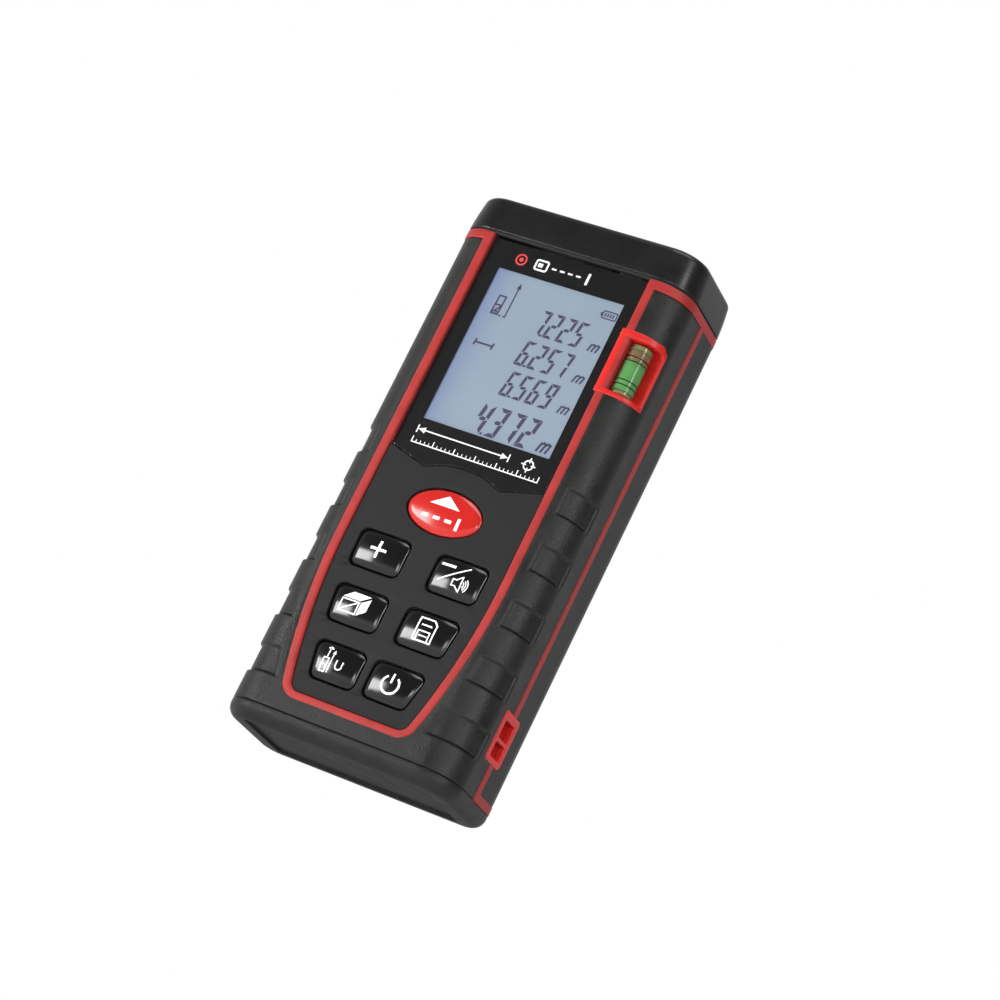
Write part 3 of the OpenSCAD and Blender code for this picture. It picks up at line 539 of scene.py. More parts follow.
# The darker, bluer tone that paints the shade on the display's field.
LCD_PAINTED_SHADE = (0.113, 0.147, 0.26)
MATERIALS = {
    "red": solid("red_plastic", (0.32, 0.02, 0.018), 0.46, grain=0.014, grain_mm=0.16, fleck=0.16, wear=0.16,
                 round_mm=0.15, spec=0.3),
    # A copy of the housing's red with a smoother finish, its colour drawn nearly twice as bright as painted
    # light. It covers the vial pocket and the eyelet.
    "red_smooth_painted_lit": solid("red_gloss_painted_lit", (0.56, 0.019, 0.015), 0.3, 0.06, fleck=0.06, wave=0.004,
                        round_mm=0.15, spec=0.32),
    "red_key": solid("red_key_lacquer", (0.48, 0.015, 0.011), 0.15, 0.03, fleck=0.04, spec=0.6),
    "key_black": solid("gloss_key", (0.0035, 0.0035, 0.0042), 0.14, 0.025, fleck=0.15, spec=0.62),
    "grip": solid("soft_grip", (0.0085, 0.0084, 0.0078), 0.43, 0.1, grain=0.075, grain_mm=0.3, fleck=0.25,
                  spec=0.34),
    "plate": solid("matt_plate", (0.0092, 0.0091, 0.0092), 0.5, 0.05, grain=0.012, grain_mm=0.14, fleck=0.08,
                   round_mm=0.1, wear=0.1, spec=0.22),
    "rear": solid("rear_shell", (0.012, 0.012, 0.012), 0.44, 0.07, grain=0.02, round_mm=0.25, wear=0.3,
                  spec=0.3),
    "cap": solid("cap_black", (0.0075, 0.0075, 0.008), 0.3, 0.05, grain=0.006, grain_mm=0.16, fleck=0.1,
                 wear=0.15, round_mm=0.12, spec=0.35),
    "gloss": solid("gloss_black", (0.005, 0.005, 0.006), 0.12, 0.04, fleck=0.15, wave=0.004, coat=0.6,
                   round_mm=0.12),
    "rubber": solid("dark_rubber", (0.012, 0.012, 0.012), 0.7, 0.06, grain=0.02, grain_mm=0.15),
    "tape": solid("black_print", (0.003, 0.003, 0.0033), 0.5, 0.05, grain=0.003, grain_mm=0.1, spec=0.12),
    # The white ink emits painted light.
    "white": printed("white_ink", (0.86, 0.86, 0.86), painted_glow=0.22),
    "red_ink": printed("red_ink", (0.62, 0.04, 0.04)),
    # The display's dark ink emits a little painted light.
    "segment": printed("lcd_ink", (0.034, 0.028, 0.075), 0.55, 0.08),
    "window": clear("window_acrylic", rgb(0.985, 0.985, 0.985), 1.46, 0.02),
    "lens": clear("lens_glass", rgb(0.86, 0.8, 0.95), 1.6, 0.015),
    "vial": clear("vial_acrylic", rgb(0.95, 0.97, 0.88), 1.45, 0.2, (0.06, rgb(0.8, 0.85, 0.6)), smear=0.0),
    "liquid": clear("vial_liquid", rgb(0.3, 0.75, 0.35), 1.15, 0.1, (0.88, rgb(0.047, 0.27, 0.055))),
    # Painted view through the air: the bubble's tint and brown haze stand in for the red tub and the
    # green-tinted wall seen through it.
    "bubble": clear("vial_air", rgb(0.85, 0.62, 0.4), 1.2, 0.08, (0.42, rgb(0.36, 0.16, 0.05))),
    "plug": clear("vial_plug", rgb(0.85, 0.82, 0.55), 1.4, 0.1, (0.36, rgb(0.6, 0.42, 0.16))),
    "metal": solid("cast_zinc", (0.36, 0.365, 0.375), 0.42, 0.1, 1.0, grain=0.015, grain_mm=0.3,
                   round_mm=0.2),
    "brass": solid("brass", (0.62, 0.45, 0.18), 0.28, 0.08, 1.0, round_mm=0.1),
    "steel": solid("steel", (0.58, 0.58, 0.6), 0.26, 0.08, 1.0, grain=0.004, grain_mm=0.15, round_mm=0.1),
    "dark_steel": solid("blackened_steel", (0.09, 0.09, 0.1), 0.36, 0.1, 1.0, round_mm=0.1, wear=0.5),
    "board": solid("board_green", (0.015, 0.11, 0.045), 0.35, 0.06, grain=0.01, grain_mm=0.6, fleck=0.3),
    "film": solid("flex_film", (0.55, 0.25, 0.04), 0.3, 0.06, fleck=0.2),
    "silicone": solid("silicone", (0.09, 0.09, 0.095), 0.6, 0.06, grain=0.01, round_mm=0.2),
    "white_plastic": solid("white_plastic", (0.75, 0.75, 0.73), 0.45, 0.06, round_mm=0.15),
    "cell": solid("cell_wrap", (0.03, 0.07, 0.2), 0.25, 0.06, fleck=0.2, round_mm=0.3, coat=0.4),
    "label": solid("label_film", (0.28, 0.285, 0.29), 0.4, 0.05, grain=0.003, fleck=0.05),
    "label_ink": printed("label_ink", (0.02, 0.02, 0.02)),
    "lcd": display_face(),
}

# The CAD nodes that keep their own shape.
for key, nodes in {
    "rear": ("rear_housing", "battery_door"),
    "rubber": ("cap_gasket", "lens_retainer", "processor_chip", "buzzer"),
    "lens": ("receiver_lens", "emitter_window", "collimator_lens"),
    "metal": ("optical_chassis",),
    "brass": ("laser_barrel", "laser_diode"),
    "board": ("photodiode_board", "main_pcb"),
    "film": ("flex_cable",),
    "steel": ("photodiode", "rf_shield", "tact_switches", "battery_springs", "battery_plates", "pcb_screws",
              "chassis_screws"),
    "silicone": ("zebra_connector", "key_mat"),
    "white_plastic": ("lcd_backlight", "lcd_bracket"),
    "cell": ("battery_1", "battery_2"),
    "dark_steel": ("case_screws",),
}.items():
    for node in nodes:
        mesh = frame["nodes"][node].data
        mesh.materials.clear()
        mesh.materials.append(MATERIALS[key])

# The cells' ends and contact nubs are bare metal.
for node in ("battery_1", "battery_2"):
    mesh = frame["nodes"][node].data
    mesh.materials.append(MATERIALS["steel"])
    middle = sum((p.center for p in mesh.polygons), Vector()) / len(mesh.polygons)
    for p in mesh.polygons:
        off_axis = math.hypot(p.center.x - middle.x, p.center.y - middle.y)
        if abs(p.normal.z) > 0.5 or off_axis < 3 * MM:
            p.material_index = 1


# ------------------------------------------------------------------ soft grip
def grip_levels():
    """The heights of the skin's rows, closest together where its relief is fine."""
    plain = [np.linspace(GROOVE_Z, GROOVE_Z + 0.3, 5), np.arange(GROOVE_Z + 0.3, 63, 0.2),
             np.arange(63, 101.9, 0.5), np.linspace(101.9, RING[0], 6)]
    pockets = [GRIP_TOP - GRIP_PITCH * i - GRIP_H + np.linspace(0, 0.6, 11) for i in range(GRIP_POCKETS)]
    return np.unique(np.concatenate(plain + pockets))


def grip_skin():
    """The overmould's front and sides: a sheet round the body's section, sunk at the finger pockets."""
    pts, nor = section_path(SIDE, Y_GRIP, 0.24, 2.0, LINE_Y[0])
    run = run_length(pts)
    from_end = np.minimum(run, run[-1] - run)
    x, y = pts.T
    z = grip_levels()[:, None]
    bead = bezel_x(BEZEL_HALF + BEZEL_LINE, z)
    across = ramp(np.abs(x) - bead - 1.45) * ramp((from_end - LINE_Y[0] + GRIP_END) / 0.55)
    sunk = np.zeros(across.shape)
    for i in range(GRIP_POCKETS):
        top = GRIP_TOP - GRIP_PITCH * i
        low = top - GRIP_H
        level = smooth((z - low) / 0.16) * smooth((top - z) / 0.5)
        valley = 0.3 * np.exp(-(((z - low - 0.32) / 0.24) ** 2)) * (z > low)
        sunk = np.maximum(sunk, (GRIP_DEPTH + valley) * level * across)
    # Rolled edges: at the groove over the foot, at the red ring and along the red side lines.
    sunk = sunk + 0.22 * (1 - smooth((z - GROOVE_Z) / 0.22)) + 0.15 * (1 - smooth((RING[0] - z) / 0.25))
    sunk = sunk + 0.15 * (1 - smooth(from_end / 0.25))
    # A fine valley beside the red line of the bezel.
    beside = np.abs(np.abs(x) - bead)
    sunk = sunk + np.where((z > 10.5) & (np.abs(y) > 12.0), 0.08 * (1 - smooth(beside / 0.35)), 0)
    xyz = np.stack([x - nor[:, 0] * sunk, y - nor[:, 1] * sunk, z + 0 * sunk], -1)
    # Faces under the bezel, the vial pocket and the eyelet are left out.
    cx, cy, cz = np.moveaxis((xyz[:-1, :-1] + xyz[1:, 1:]) / 2, -1, 0)
    half = BEZEL_HALF + BEZEL_LINE / 2
    side = bezel_side(half, 7.0, 3.1)
    gone = inside(cx, cz, [(-half, 110), (half, 110)] + side + mirrored(side)) & (cy < -11)
    gone |= ((cx > POCKET_LEFT + 1) & (cy < POCKET_BACK - 0.5)
             & (cz > POCKET_Z[0] + 0.5) & (cz < POCKET_Z[1] - 0.6))
    gone |= (cx > 20) & (cy > EYELET_Y[0] + 0.5) & (cz > EYELET_Z[0] + 0.5) & (cz < EYELET_Z[1] - 0.5)
    rows, cols = np.nonzero(~gone)
    a = rows * len(run) + cols
    quads = np.stack([a, a + 1, a + 1 + len(run), a + len(run)], 1)
    used, faces = np.unique(quads, return_inverse=True)
    shape = Shape()
    shape.v = xyz.reshape(-1, 3)[used].tolist()
    shape.f = faces.reshape(-1, 4).tolist()
    finish_mesh("grip_skin", shape, "grip", "case", ["grip_overmould"], 80, False, False)


def foot():
    """The overmould's cup round the foot, with its shallow panel."""
    path = section_path(SIDE, Y_GRIP, 0.8, 5.0)
    rim = np.where(path[0][:, 1] > LINE_Y[0], FOOT_PLATE[0] - 0.02, GROOVE_Z - 0.06)
    rows = [(1.2, rim), (0.2, rim), (0.05, rim - 0.05), (0, rim - 0.16), (0, FOOT_R)]
    for k in range(1, 13):
        a = math.pi / 2 * k / 12
        rows.append((FOOT_R * (1 - math.cos(a)), FOOT_R * (1 - math.sin(a))))
    shape = Shape()
    loops = shape.rings([inset_ring(path, inset, z) for inset, z in rows])
    panel = rounded(box_points((-20, -9.4), (20, 9)), 1.2, 8)
    depth = 0.6
    profile = [(0, 0), (0.06, 0.02), (0.14, 0.1), (0.16, 0.22), (0.18, depth - 0.2), (0.24, depth - 0.06),
               (0.4, depth)]
    walls = shape.rings([[(x, y, d) for x, y in offset(panel, i)] for i, d in profile])
    shape.fill([loops[-1], walls[0]])
    shape.fill([walls[-1]])
    finish_mesh("grip_foot", shape, "grip", "case", ["grip_overmould"], 40)


# ------------------------------------------------------------------ red housing
def red_part(name, shape):
    finish_mesh(name, shape, "red", "case", ["front_housing"])


def red_bezel():
    """The red line round the display and keys, with the bump where it meets the vial pocket."""
    outer = bezel_side(BEZEL_HALF + BEZEL_LINE, 6.2, 4.0)
    inner = bezel_side(BEZEL_HALF, 7.8, 2.2)
    top = RING[1]
    line = [(BEZEL_HALF + BEZEL_LINE, top)] + outer + mirrored(outer) + [(-BEZEL_HALF - BEZEL_LINE, top)]
    line += [(-BEZEL_HALF, top)] + mirrored(inner[::-1]) + inner[::-1]
    low, high = POCKET_Z
    line += [(BEZEL_HALF, low - 0.3), (POCKET_LEFT, low + 1.0), (POCKET_LEFT, high - 1.0),
             (BEZEL_HALF, high + 0.3), (BEZEL_HALF, top)]
    shape = Shape()
    shape.plate(FRONT, divided(line, 2.5), [], Y_BEAD, Y_WALL + 0.2, 0.42, 5, back=False)
    red_part("red_bezel", shape)


def red_band(name, kept, lo, hi, roll):
    """A red band round the body, where kept(x, y) is true. roll lists its edges' (inset, rise) pairs."""
    pts, nor = section_path(HALF, Y_BEAD, 0.8, 4.0)
    keep = kept(*pts.T)
    first = int(np.argmax(keep & ~np.roll(keep, 1)))
    order = [i for i in np.roll(np.arange(len(pts)), -first) if keep[i]]
    profile = [(inset, lo + rise) for inset, rise in roll]
    profile += [(inset, hi - rise) for inset, rise in reversed(roll)]
    shape = Shape()
    shape.rings([inset_ring((pts[order], nor[order]), inset, z) for inset, z in profile], False)
    red_part(name, shape)


def red_ring():
    """The red band under the end cap. It stops at the bezel, where the window runs up to the cap."""
    clear_of_bezel = lambda x, y: (np.abs(x) >= BEZEL_HALF + 0.5) | (y >= 0)
    red_band("red_ring", clear_of_bezel, *RING, [(1.6, 0), (0.3, 0), (0.1, 0.04), (0.02, 0.14), (0, 0.3)])


def foot_band():
    """The red foot plate's edge, round the back."""
    at_back = lambda x, y: y > 6.5
    red_band("red_foot_band", at_back, FOOT_PLATE[0] + 0.02, FOOT_PLATE[1],
             [(1.6, 0), (0.2, 0), (0.05, 0.04), (0, 0.16)])


def side_strip(name, side):
    """A red side line and the band that it turns into along the foot. The eyelet breaks the right one."""
    lo_y, hi_y = LINE_Y
    lo_z, top = FOOT_PLATE[0] + 0.02, RING[0] + 0.2
    end = EYELET_Z[0] + 0.2 if side > 0 else top
    foot_y, foot_z = 7.2, FOOT_PLATE[1]
    parts = [[(lo_y, lo_z), (foot_y, lo_z), (foot_y, foot_z), (hi_y, foot_z), (hi_y, end), (lo_y, end)]]
    if side > 0:
        parts.append(box_points((lo_y, EYELET_Z[1] - 0.2), (hi_y, top)))
    shape = Shape()
    for outline in parts:
        face_x, back_x = side * (HALF - 0.01), side * (HALF - 1.0)
        shape.plate(SIDEWAYS, divided(outline, 4), [], face_x, back_x, 0.16, back=False)
    red_part(name, shape)


def vial_lines(front):
    """The vial pocket's section through a bar, and through its tub, whose back is a cradle round the vial."""
    corner = (HALF - FRONT_R, front + FRONT_R)
    end = math.degrees(math.acos((corner[1] - POCKET_BACK) / FRONT_R))
    arc = arc_points(*corner, FRONT_R, -90, end - 90, 59)
    start, back = [(POCKET_LEFT, -11.4), (POCKET_LEFT, front)], (arc[-1][0] - 0.6, POCKET_BACK)
    bar = rounded(start + [(corner[0], front)], [0, 0.45, 0], 6) + arc[1:] + [back]
    cradle = arc_points(VIAL_X, VIAL_Y, VIAL_R + 0.06, 188, 56, 22)
    tub = rounded(start + [(17.95, front), (18.12, -10.1)], [0, 0.5, 0.55, 0], 6) + cradle
    lip = [cradle[-1], (24.85, -8.1), (arc[-1][0] + 0.02, POCKET_BACK), back]
    return bar, tub + rounded(lip, [0, 0.5, 0.12, 0], 6)[1:]


def vial_frame():
    """The open red pocket that holds the vial: a rim round the body's edge, and a tub between its bars."""
    n, (low, high), (low_end, top_end) = 84, POCKET_Z, TUB_Z
    bar_line, tub_line = (resample(line, n) for line in vial_lines(Y_BEAD - 0.13))
    stops = [(low, 5), (low + 0.3, 3), (low_end - 0.35, 9), (low_end + 0.25, 20), (top_end - 0.2, 12),
             (top_end + 0.75, 3), (high - 0.4, 7), (high, 0)]
    levels = np.unique(np.concatenate([np.linspace(a, b, m) for (a, m), (b, _) in zip(stops, stops[1:])]))
    right_end = smooth((np.linspace(0, 1, n) - 0.8) / 0.2)
    rows = []
    for z in levels:
        opening = smooth((z - low_end + 0.3) / 0.5) * smooth((top_end + 0.7 - z) / 0.85)
        line = bar_line * (1 - opening) + tub_line * opening
        edge = min(1, (z - low) / 0.3, (high - z) / 0.3)
        inset = 0.3 * (1 - math.sqrt(max(0, 1 - (1 - edge) ** 2)))
        d = np.gradient(line, axis=0)
        d /= np.linalg.norm(d, axis=1)[:, None]
        line = line + np.stack([-d[:, 1], d[:, 0]], 1) * inset
        # The upper outer corner is rounded off.
        drop = right_end * 1.5 * max(0, (z - 86) / (high - 86)) ** 3
        rows.append(np.column_stack([line, z - drop]).tolist())
    shape = Shape()
    shape.rings(rows, False)
    # The pocket wears the brighter copy of the housing red: painted light.
    finish_mesh("vial_pocket", shape, "red_smooth_painted_lit", "case", ["front_housing"], 50)


def eyelet():
    """The red strap eyelet: two windows with a bar between them, over a hollow."""
    shape = Shape()
    outline = rounded(box_points((EYELET_Y[0], EYELET_Z[0]), (EYELET_Y[1], EYELET_Z[1])), 1.0, 8)
    windows = [rounded(box_points((-2, lo), (2.5, hi)), 0.35, 5) for lo, hi in ((15.3, 18.7), (11.7, 14.5))]
    shape.plate(SIDEWAYS, divided(outline, 1.5), windows, HALF, 23.8, 0.35, 5, 0.28)
    cup = rounded(box_points((-2.15, 11.55), (2.65, 18.85)), 0.5, 5)
    depths = ((23.85, 0), (21.7, 0.05), (21.35, 0.2), (21.2, 0.6))
    loops = shape.rings([[(x, y, z) for y, z in offset(cup, i)] for x, i in depths])
    shape.fill([loops[-1]], (1, 2))
    # The eyelet wears the brighter copy of the housing red: painted light.
    finish_mesh("strap_eyelet", shape, "red_smooth_painted_lit", "case", ["lanyard_eyelet"])


# ------------------------------------------------------------------ end cap and optics
def racetrack(half_l, r):
    right, left = 1 + half_l - r, 1 - half_l + r
    return arc_points(right, OPTIC_Y, r, -90, 90, 24) + arc_points(left, OPTIC_Y, r, 90, 270, 24)


def end_cap():
    """The cap leans in towards its rounded top, where the optics panel sits in a shallow well."""
    path = section_path(HALF, Y_BEAD, 1.0, 4.0)
    lean, r, well = 0.75, 1.5, 0.8
    lo, hi = CAP
    inset_at = lambda z: 0.02 + lean * ((z - lo) / (hi - lo)) ** 1.6
    rows = [(1.7, lo), (0.35, lo), (0.1, lo + 0.06), (0.03, lo + 0.2)]
    rows += [(inset_at(z), z) for z in np.linspace(lo + 0.5, hi - r, 5)]
    for k in range(1, 10):
        a = math.pi / 2 * k / 9
        rows.append((inset_at(hi - r) + (r + 0.1) * (1 - math.cos(a)), hi - r + r * math.sin(a)))
    shape = Shape()
    loops = shape.rings([inset_ring(path, inset, z) for inset, z in rows])
    steps = ((-0.2, 0), (-0.06, 0.05), (0, 0.2), (0, well))
    holes = shape.rings([[(x, y, hi - d) for x, y in offset(racetrack(17.5, 8.0), i)] for i, d in steps])
    shape.fill([loops[-1], holes[0]])
    openings = [circle(LENS_X, OPTIC_Y, LENS_R - 0.3), circle(LASER_X, OPTIC_Y, 2.2)]
    shape.fill([holes[-1]] + [shape.add([(x, y, hi - well) for x, y in loop]) for loop in openings])
    finish_mesh("cap_shell", shape, "cap", "case", ["end_cap"])


def optics_panel():
    shape = Shape()
    openings = [circle(LENS_X, OPTIC_Y, LENS_R - 0.5), circle(LASER_X, OPTIC_Y, 2.0)]
    shape.plate(UPWARDS, racetrack(17.4, 7.9), openings, CAP[1] - 0.05, CAP[1] - 0.8, 0.15)
    finish_mesh("optics_bezel", shape, "gloss", "case", ["optics_panel"])


# ------------------------------------------------------------------ printed drawings
class Pen:
    """Draws printed figures at a depth: one y, or a function that gives y at (x, z)."""

    def __init__(self, depth):
        self.shape = Shape()
        self.depth = depth if callable(depth) else lambda x, z: depth

    def placed(self, pts):
        return [(x, self.depth(x, z), z) for x, z in pts]

    def line(self, pts, width, closed=False):
        """A printed line: a ribbon of the given width."""
        pts = divided(list(pts) + ([pts[0]] if closed else []), 0.5, False)
        way = [unit((b[0] - a[0], b[1] - a[1])) for a, b in zip(pts, pts[1:])]
        before = [way[-1] if closed else way[0]] + way
        after = way + [way[0] if closed else way[-1]]
        left, right = [], []
        for (x, z), e, f in zip(pts, before, after):
            m = (-e[1] - f[1], e[0] + f[0])
            k = width / 2 / max(0.6, m[1] * e[0] - m[0] * e[1])
            left.append((x + m[0] * k, z + m[1] * k))
            right.append((x - m[0] * k, z - m[1] * k))
        self.shape.rings([self.placed(left), self.placed(right)], False)

    def lines(self, width, *ends):
        """Straight lines of one width, each given as (x1, z1, x2, z2)."""
        for x1, z1, x2, z2 in ends:
            self.line([(x1, z1), (x2, z2)], width)

    def patch(self, pts):
        """A filled figure with three or four corners that follows the surface under it."""
        a, b, c, d = pts if len(pts) == 4 else pts + pts[-1:]
        longest = max(math.dist(a, b), math.dist(b, c), math.dist(c, d), math.dist(d, a))
        n = max(2, math.ceil(longest / 0.6))
        between = lambda p, q, t: (p[0] + (q[0] - p[0]) * t, p[1] + (q[1] - p[1]) * t)
        rows = []
        for i in range(n + 1):
            p, q = between(a, d, i / n), between(b, c, i / n)
            rows.append(self.placed([between(p, q, j / n) for j in range(n + 1)]))
        self.shape.rings(rows, False)

    def rays(self, x, z, inner, outer, width, angles):
        """Short lines outwards from a point, at angles in degrees."""
        for a in map(math.radians, angles):
            c, s = math.cos(a), math.sin(a)
            self.line([(x + inner * c, z + inner * s), (x + outer * c, z + outer * s)], width)

    def finish(self, name, material, body):
        finish_mesh(name, self.shape, material, body, (), weighted=False)


# Which of the seven bars are dark: top, upper left, upper right, middle, lower left, lower right, bottom.
SEGMENTS = {"2": "1011101", "3": "1011011", "4": "0111010", "5": "1101011", "6": "1101111", "7": "1010010",
            "9": "1111011"}
SLANT = 0.19


def digit(pen, char, x, z, w, h, t):
    """One seven-bar figure whose lower left corner is (x, z). t is how thick its bars are."""
    g, mid = 0.06, h / 2
    bars = [
        [(g, h), (w - g, h), (w - t - g, h - t), (t + g, h - t)],
        [(0, mid + g), (t, mid + t / 2 + g), (t, h - t - g), (0, h - g)],
        [(w, mid + g), (w, h - g), (w - t, h - t - g), (w - t, mid + t / 2 + g)],
        [(t / 2 + g, mid), (t + g, mid + t / 2), (w - t - g, mid + t / 2), (w - t / 2 - g, mid),
         (w - t - g, mid - t / 2), (t + g, mid - t / 2)],
        [(0, g), (t, t + g), (t, mid - t / 2 - g), (0, mid - g)],
        [(w, g), (w, mid - g), (w - t, mid - t / 2 - g), (w - t, t + g)],
        [(g, 0), (t + g, t), (w - t - g, t), (w - g, 0)],
    ]
    for on, bar in zip(SEGMENTS[char], bars):
        if on == "1":
            loop = pen.shape.add(pen.placed([(x + a + SLANT * b, z + b) for a, b in bar]))
            pen.shape.fill([loop], FILL_AXES[FRONT])


def reading(pen, text, right, z, h, w, pitch, t):
    """A row of figures with a point after the first, ending at x = right."""
    digits = text.replace(".", "")
    x = right - w - pitch * (len(digits) - 1) - SLANT * h
    for i, char in enumerate(digits):
        digit(pen, char, x + pitch * i, z, w, h, t)
    point = x + w + (pitch - w) / 2 - 0.28
    pen.patch([(point, z), (point + 0.5, z), (point + 0.58, z + 0.45), (point + 0.08, z + 0.45)])


def unit_m(pen, x, z, h, w, t):
    """The unit after a reading: three leaning stems joined by two arches."""
    for k in range(3):
        foot_x = x + w * k / 2.3
        top_x = foot_x + 0.3 * h
        pen.lines(t, (foot_x, z, top_x, z + h))
        if k < 2:
            bow = [(top_x - 0.1, z + h * 0.8), (top_x + w / 4.6, z + h), (top_x + w / 2.3, z + h * 0.85)]
            pen.line(bow, t * 0.9)


def display():
    """The glass with its blue-grey field, and the dark figures shown on it."""
    shape = Shape()
    glass = box_points((LCD_X - 15, LCD_Z - 19.5), (LCD_X + 15, LCD_Z + 18.5))
    shape.plate(FRONT, glass, [], Y_GLASS, Y_GLASS + 1.6, 0.05, 1)
    finish_mesh("display_glass", shape, "lcd", "case", ["lcd_glass"])
    ink = Pen(Y_GLASS - 0.02)
    for text, z, pitch in (("7.225", 87.2, 2.72), ("6.257", 80.5, 2.78), ("6.569", 73.9, 2.78)):
        reading(ink, text, 9.75, z, 5.25, 2.0, pitch, 0.6)
        unit_m(ink, 11.15, z + 0.1, 1.55, 1.9, 0.38)
    reading(ink, "4.372", 9.6, 65.4, 6.25, 2.4, 3.3, 0.8)
    unit_m(ink, 10.75, 65.7, 2.0, 2.15, 0.48)
    # Reference edge: the meter's outline, its beam and the front edge mark.
    ink.line([(-10.6, 88.9), (-9.2, 88.9), (-9.0, 92.7), (-10.4, 92.7)], 0.36, True)
    ink.lines(0.36, (-10.5, 90.8, -9.1, 90.8))
    ink.lines(0.34, (-10.6, 88.95, -9.1, 90.7))
    ink.lines(0.5, (-9.9, 89.4, -9.4, 89.4))
    ink.lines(0.32, (-8.9, 88.8, -8.4, 88.8))
    ink.line([(-8.0, 88.8), (-7.5, 88.8), (-7.4, 95.3)], 0.3)
    ink.patch([(-7.9, 94.9), (-6.9, 94.9), (-7.4, 96.2)])
    ink.lines(0.4, (-10.8, 82.5, -7.0, 82.5), (-10.9, 81.8, -10.7, 83.2), (-7.1, 81.8, -6.9, 83.2))
    # Battery mark: its outline, its nub and four bars.
    ink.line(rounded(box_points((10.8, 94.4), (13.7, 95.9)), 0.2, 3), 0.26, True)
    ink.lines(0.32, (10.5, 94.8, 10.5, 95.5))
    for k in range(4):
        ink.lines(0.3, (11.35 + 0.55 * k, 94.75, 11.42 + 0.55 * k, 95.55))
    ink.finish("display_figures", "segment", "case")


def window():
    """The clear window, and the black print on its back."""
    half, top, g = BEZEL_HALF - 0.1, RING[1] - 0.6, 0.1
    left, low, high = POCKET_LEFT - g, *POCKET_Z
    notch = [(half, low - g), (left + 0.3, low + 0.7), (left, low + 1.2), (left, high - 1.2),
             (left + 0.3, high - 0.7), (half, high + g)]
    outline = [(-half, top), (-half, ARCH_Z + 2.4)] + arch(0) + [(half, ARCH_Z + 2.4)] + notch + [(half, top)]
    shape = Shape()
    shape.plate(FRONT, divided(outline, 3), [], Y_WINDOW, Y_WALL - 0.2, 0.14, 4)
    finish_mesh("window_pane", shape, "window", "case", ["display_window"])
    view = box_points((LCD_X - LCD_W / 2, LCD_Z - LCD_H / 2), (LCD_X + LCD_W / 2, LCD_Z + LCD_H / 2))
    tape = Shape()
    tape.plate(FRONT, divided(offset(outline, 0.05), 3), [rounded(view, 0.15, 3)], Y_WALL - 0.19, Y_WALL)
    finish_mesh("window_print", tape, "tape", "case", ["window_tape"], weighted=False)


def window_drawings():
    """The white drawings and the red mark on the window's back."""
    depth = Y_WALL - 0.21
    ink = Pen(depth)
    # Scale under the display: six long steps of five short ones.
    x0, x1, base = -13.3, 14.0, 59.95
    ink.lines(0.22, (x0 - 0.1, base, x1 + 0.1, base))
    for k in range(31):
        x = x0 + (x1 - x0) * k / 30
        tall, width = (0.62, 0.15) if k % 5 else (1.15, 0.2)
        ink.lines(width, (x, base, x, base + tall))
    # Pictograms in place of the words: a dimension arrow, a target, and a beam from the meter to a wall.
    ink.lines(0.24, (-12.2, 62.7, 5.6, 62.7))
    for x, s in ((-13.1, 1), (6.5, -1)):
        ink.patch([(x, 62.7), (x + 1.5 * s, 62.1), (x + 1.5 * s, 63.3)])
        ink.lines(0.24, (x - 0.12 * s, 61.9, x - 0.12 * s, 63.5))
    ink.line(circle(10.9, 62.6, 0.95, 28), 0.26, True)
    ink.rays(10.9, 62.6, 0.5, 1.5, 0.24, range(0, 360, 90))
    ink.line(rounded(box_points((-6.4, 99.7), (-3.9, 101.7)), 0.35, 5), 0.36, True)
    ink.patch(box_points((-5.9, 100.3), (-4.9, 101.1)))
    for k in range(4):
        ink.lines(0.34, (-2.9 + 1.75 * k, 100.7, -1.9 + 1.75 * k, 100.7))
    ink.lines(0.5, (4.9, 99.5, 4.9, 101.9))
    ink.finish("window_drawings", "white", "case")
    mark = Pen(depth)
    mark.line(circle(-9.6, 100.7, 1.05, 32), 0.32, True)
    mark.line(circle(-9.6, 100.7, 0.22, 16), 0.44, True)
    mark.finish("window_mark", "red_ink", "case")


def face_plate():
    """The matt plate round the keys."""
    half, shoulder = BEZEL_HALF - 0.1, ARCH_Z + 2.25
    low = bezel_side(half, 7.9, 2.1)
    outline = [(-half, shoulder)] + arch(0.15) + [(half, shoulder)] + low + mirrored(low)
    holes = [oval(KEY_GAP)] + [key_outline(row, side, KEY_GAP) for row in range(3) for side in (-1, 1)]
    shape = Shape()
    shape.plate(FRONT, divided(outline, 2), holes, Y_PLATE, Y_WALL, 0.1, 3, 0.18)
    finish_mesh("key_surround", shape, "plate", "case", ["face_plate"])


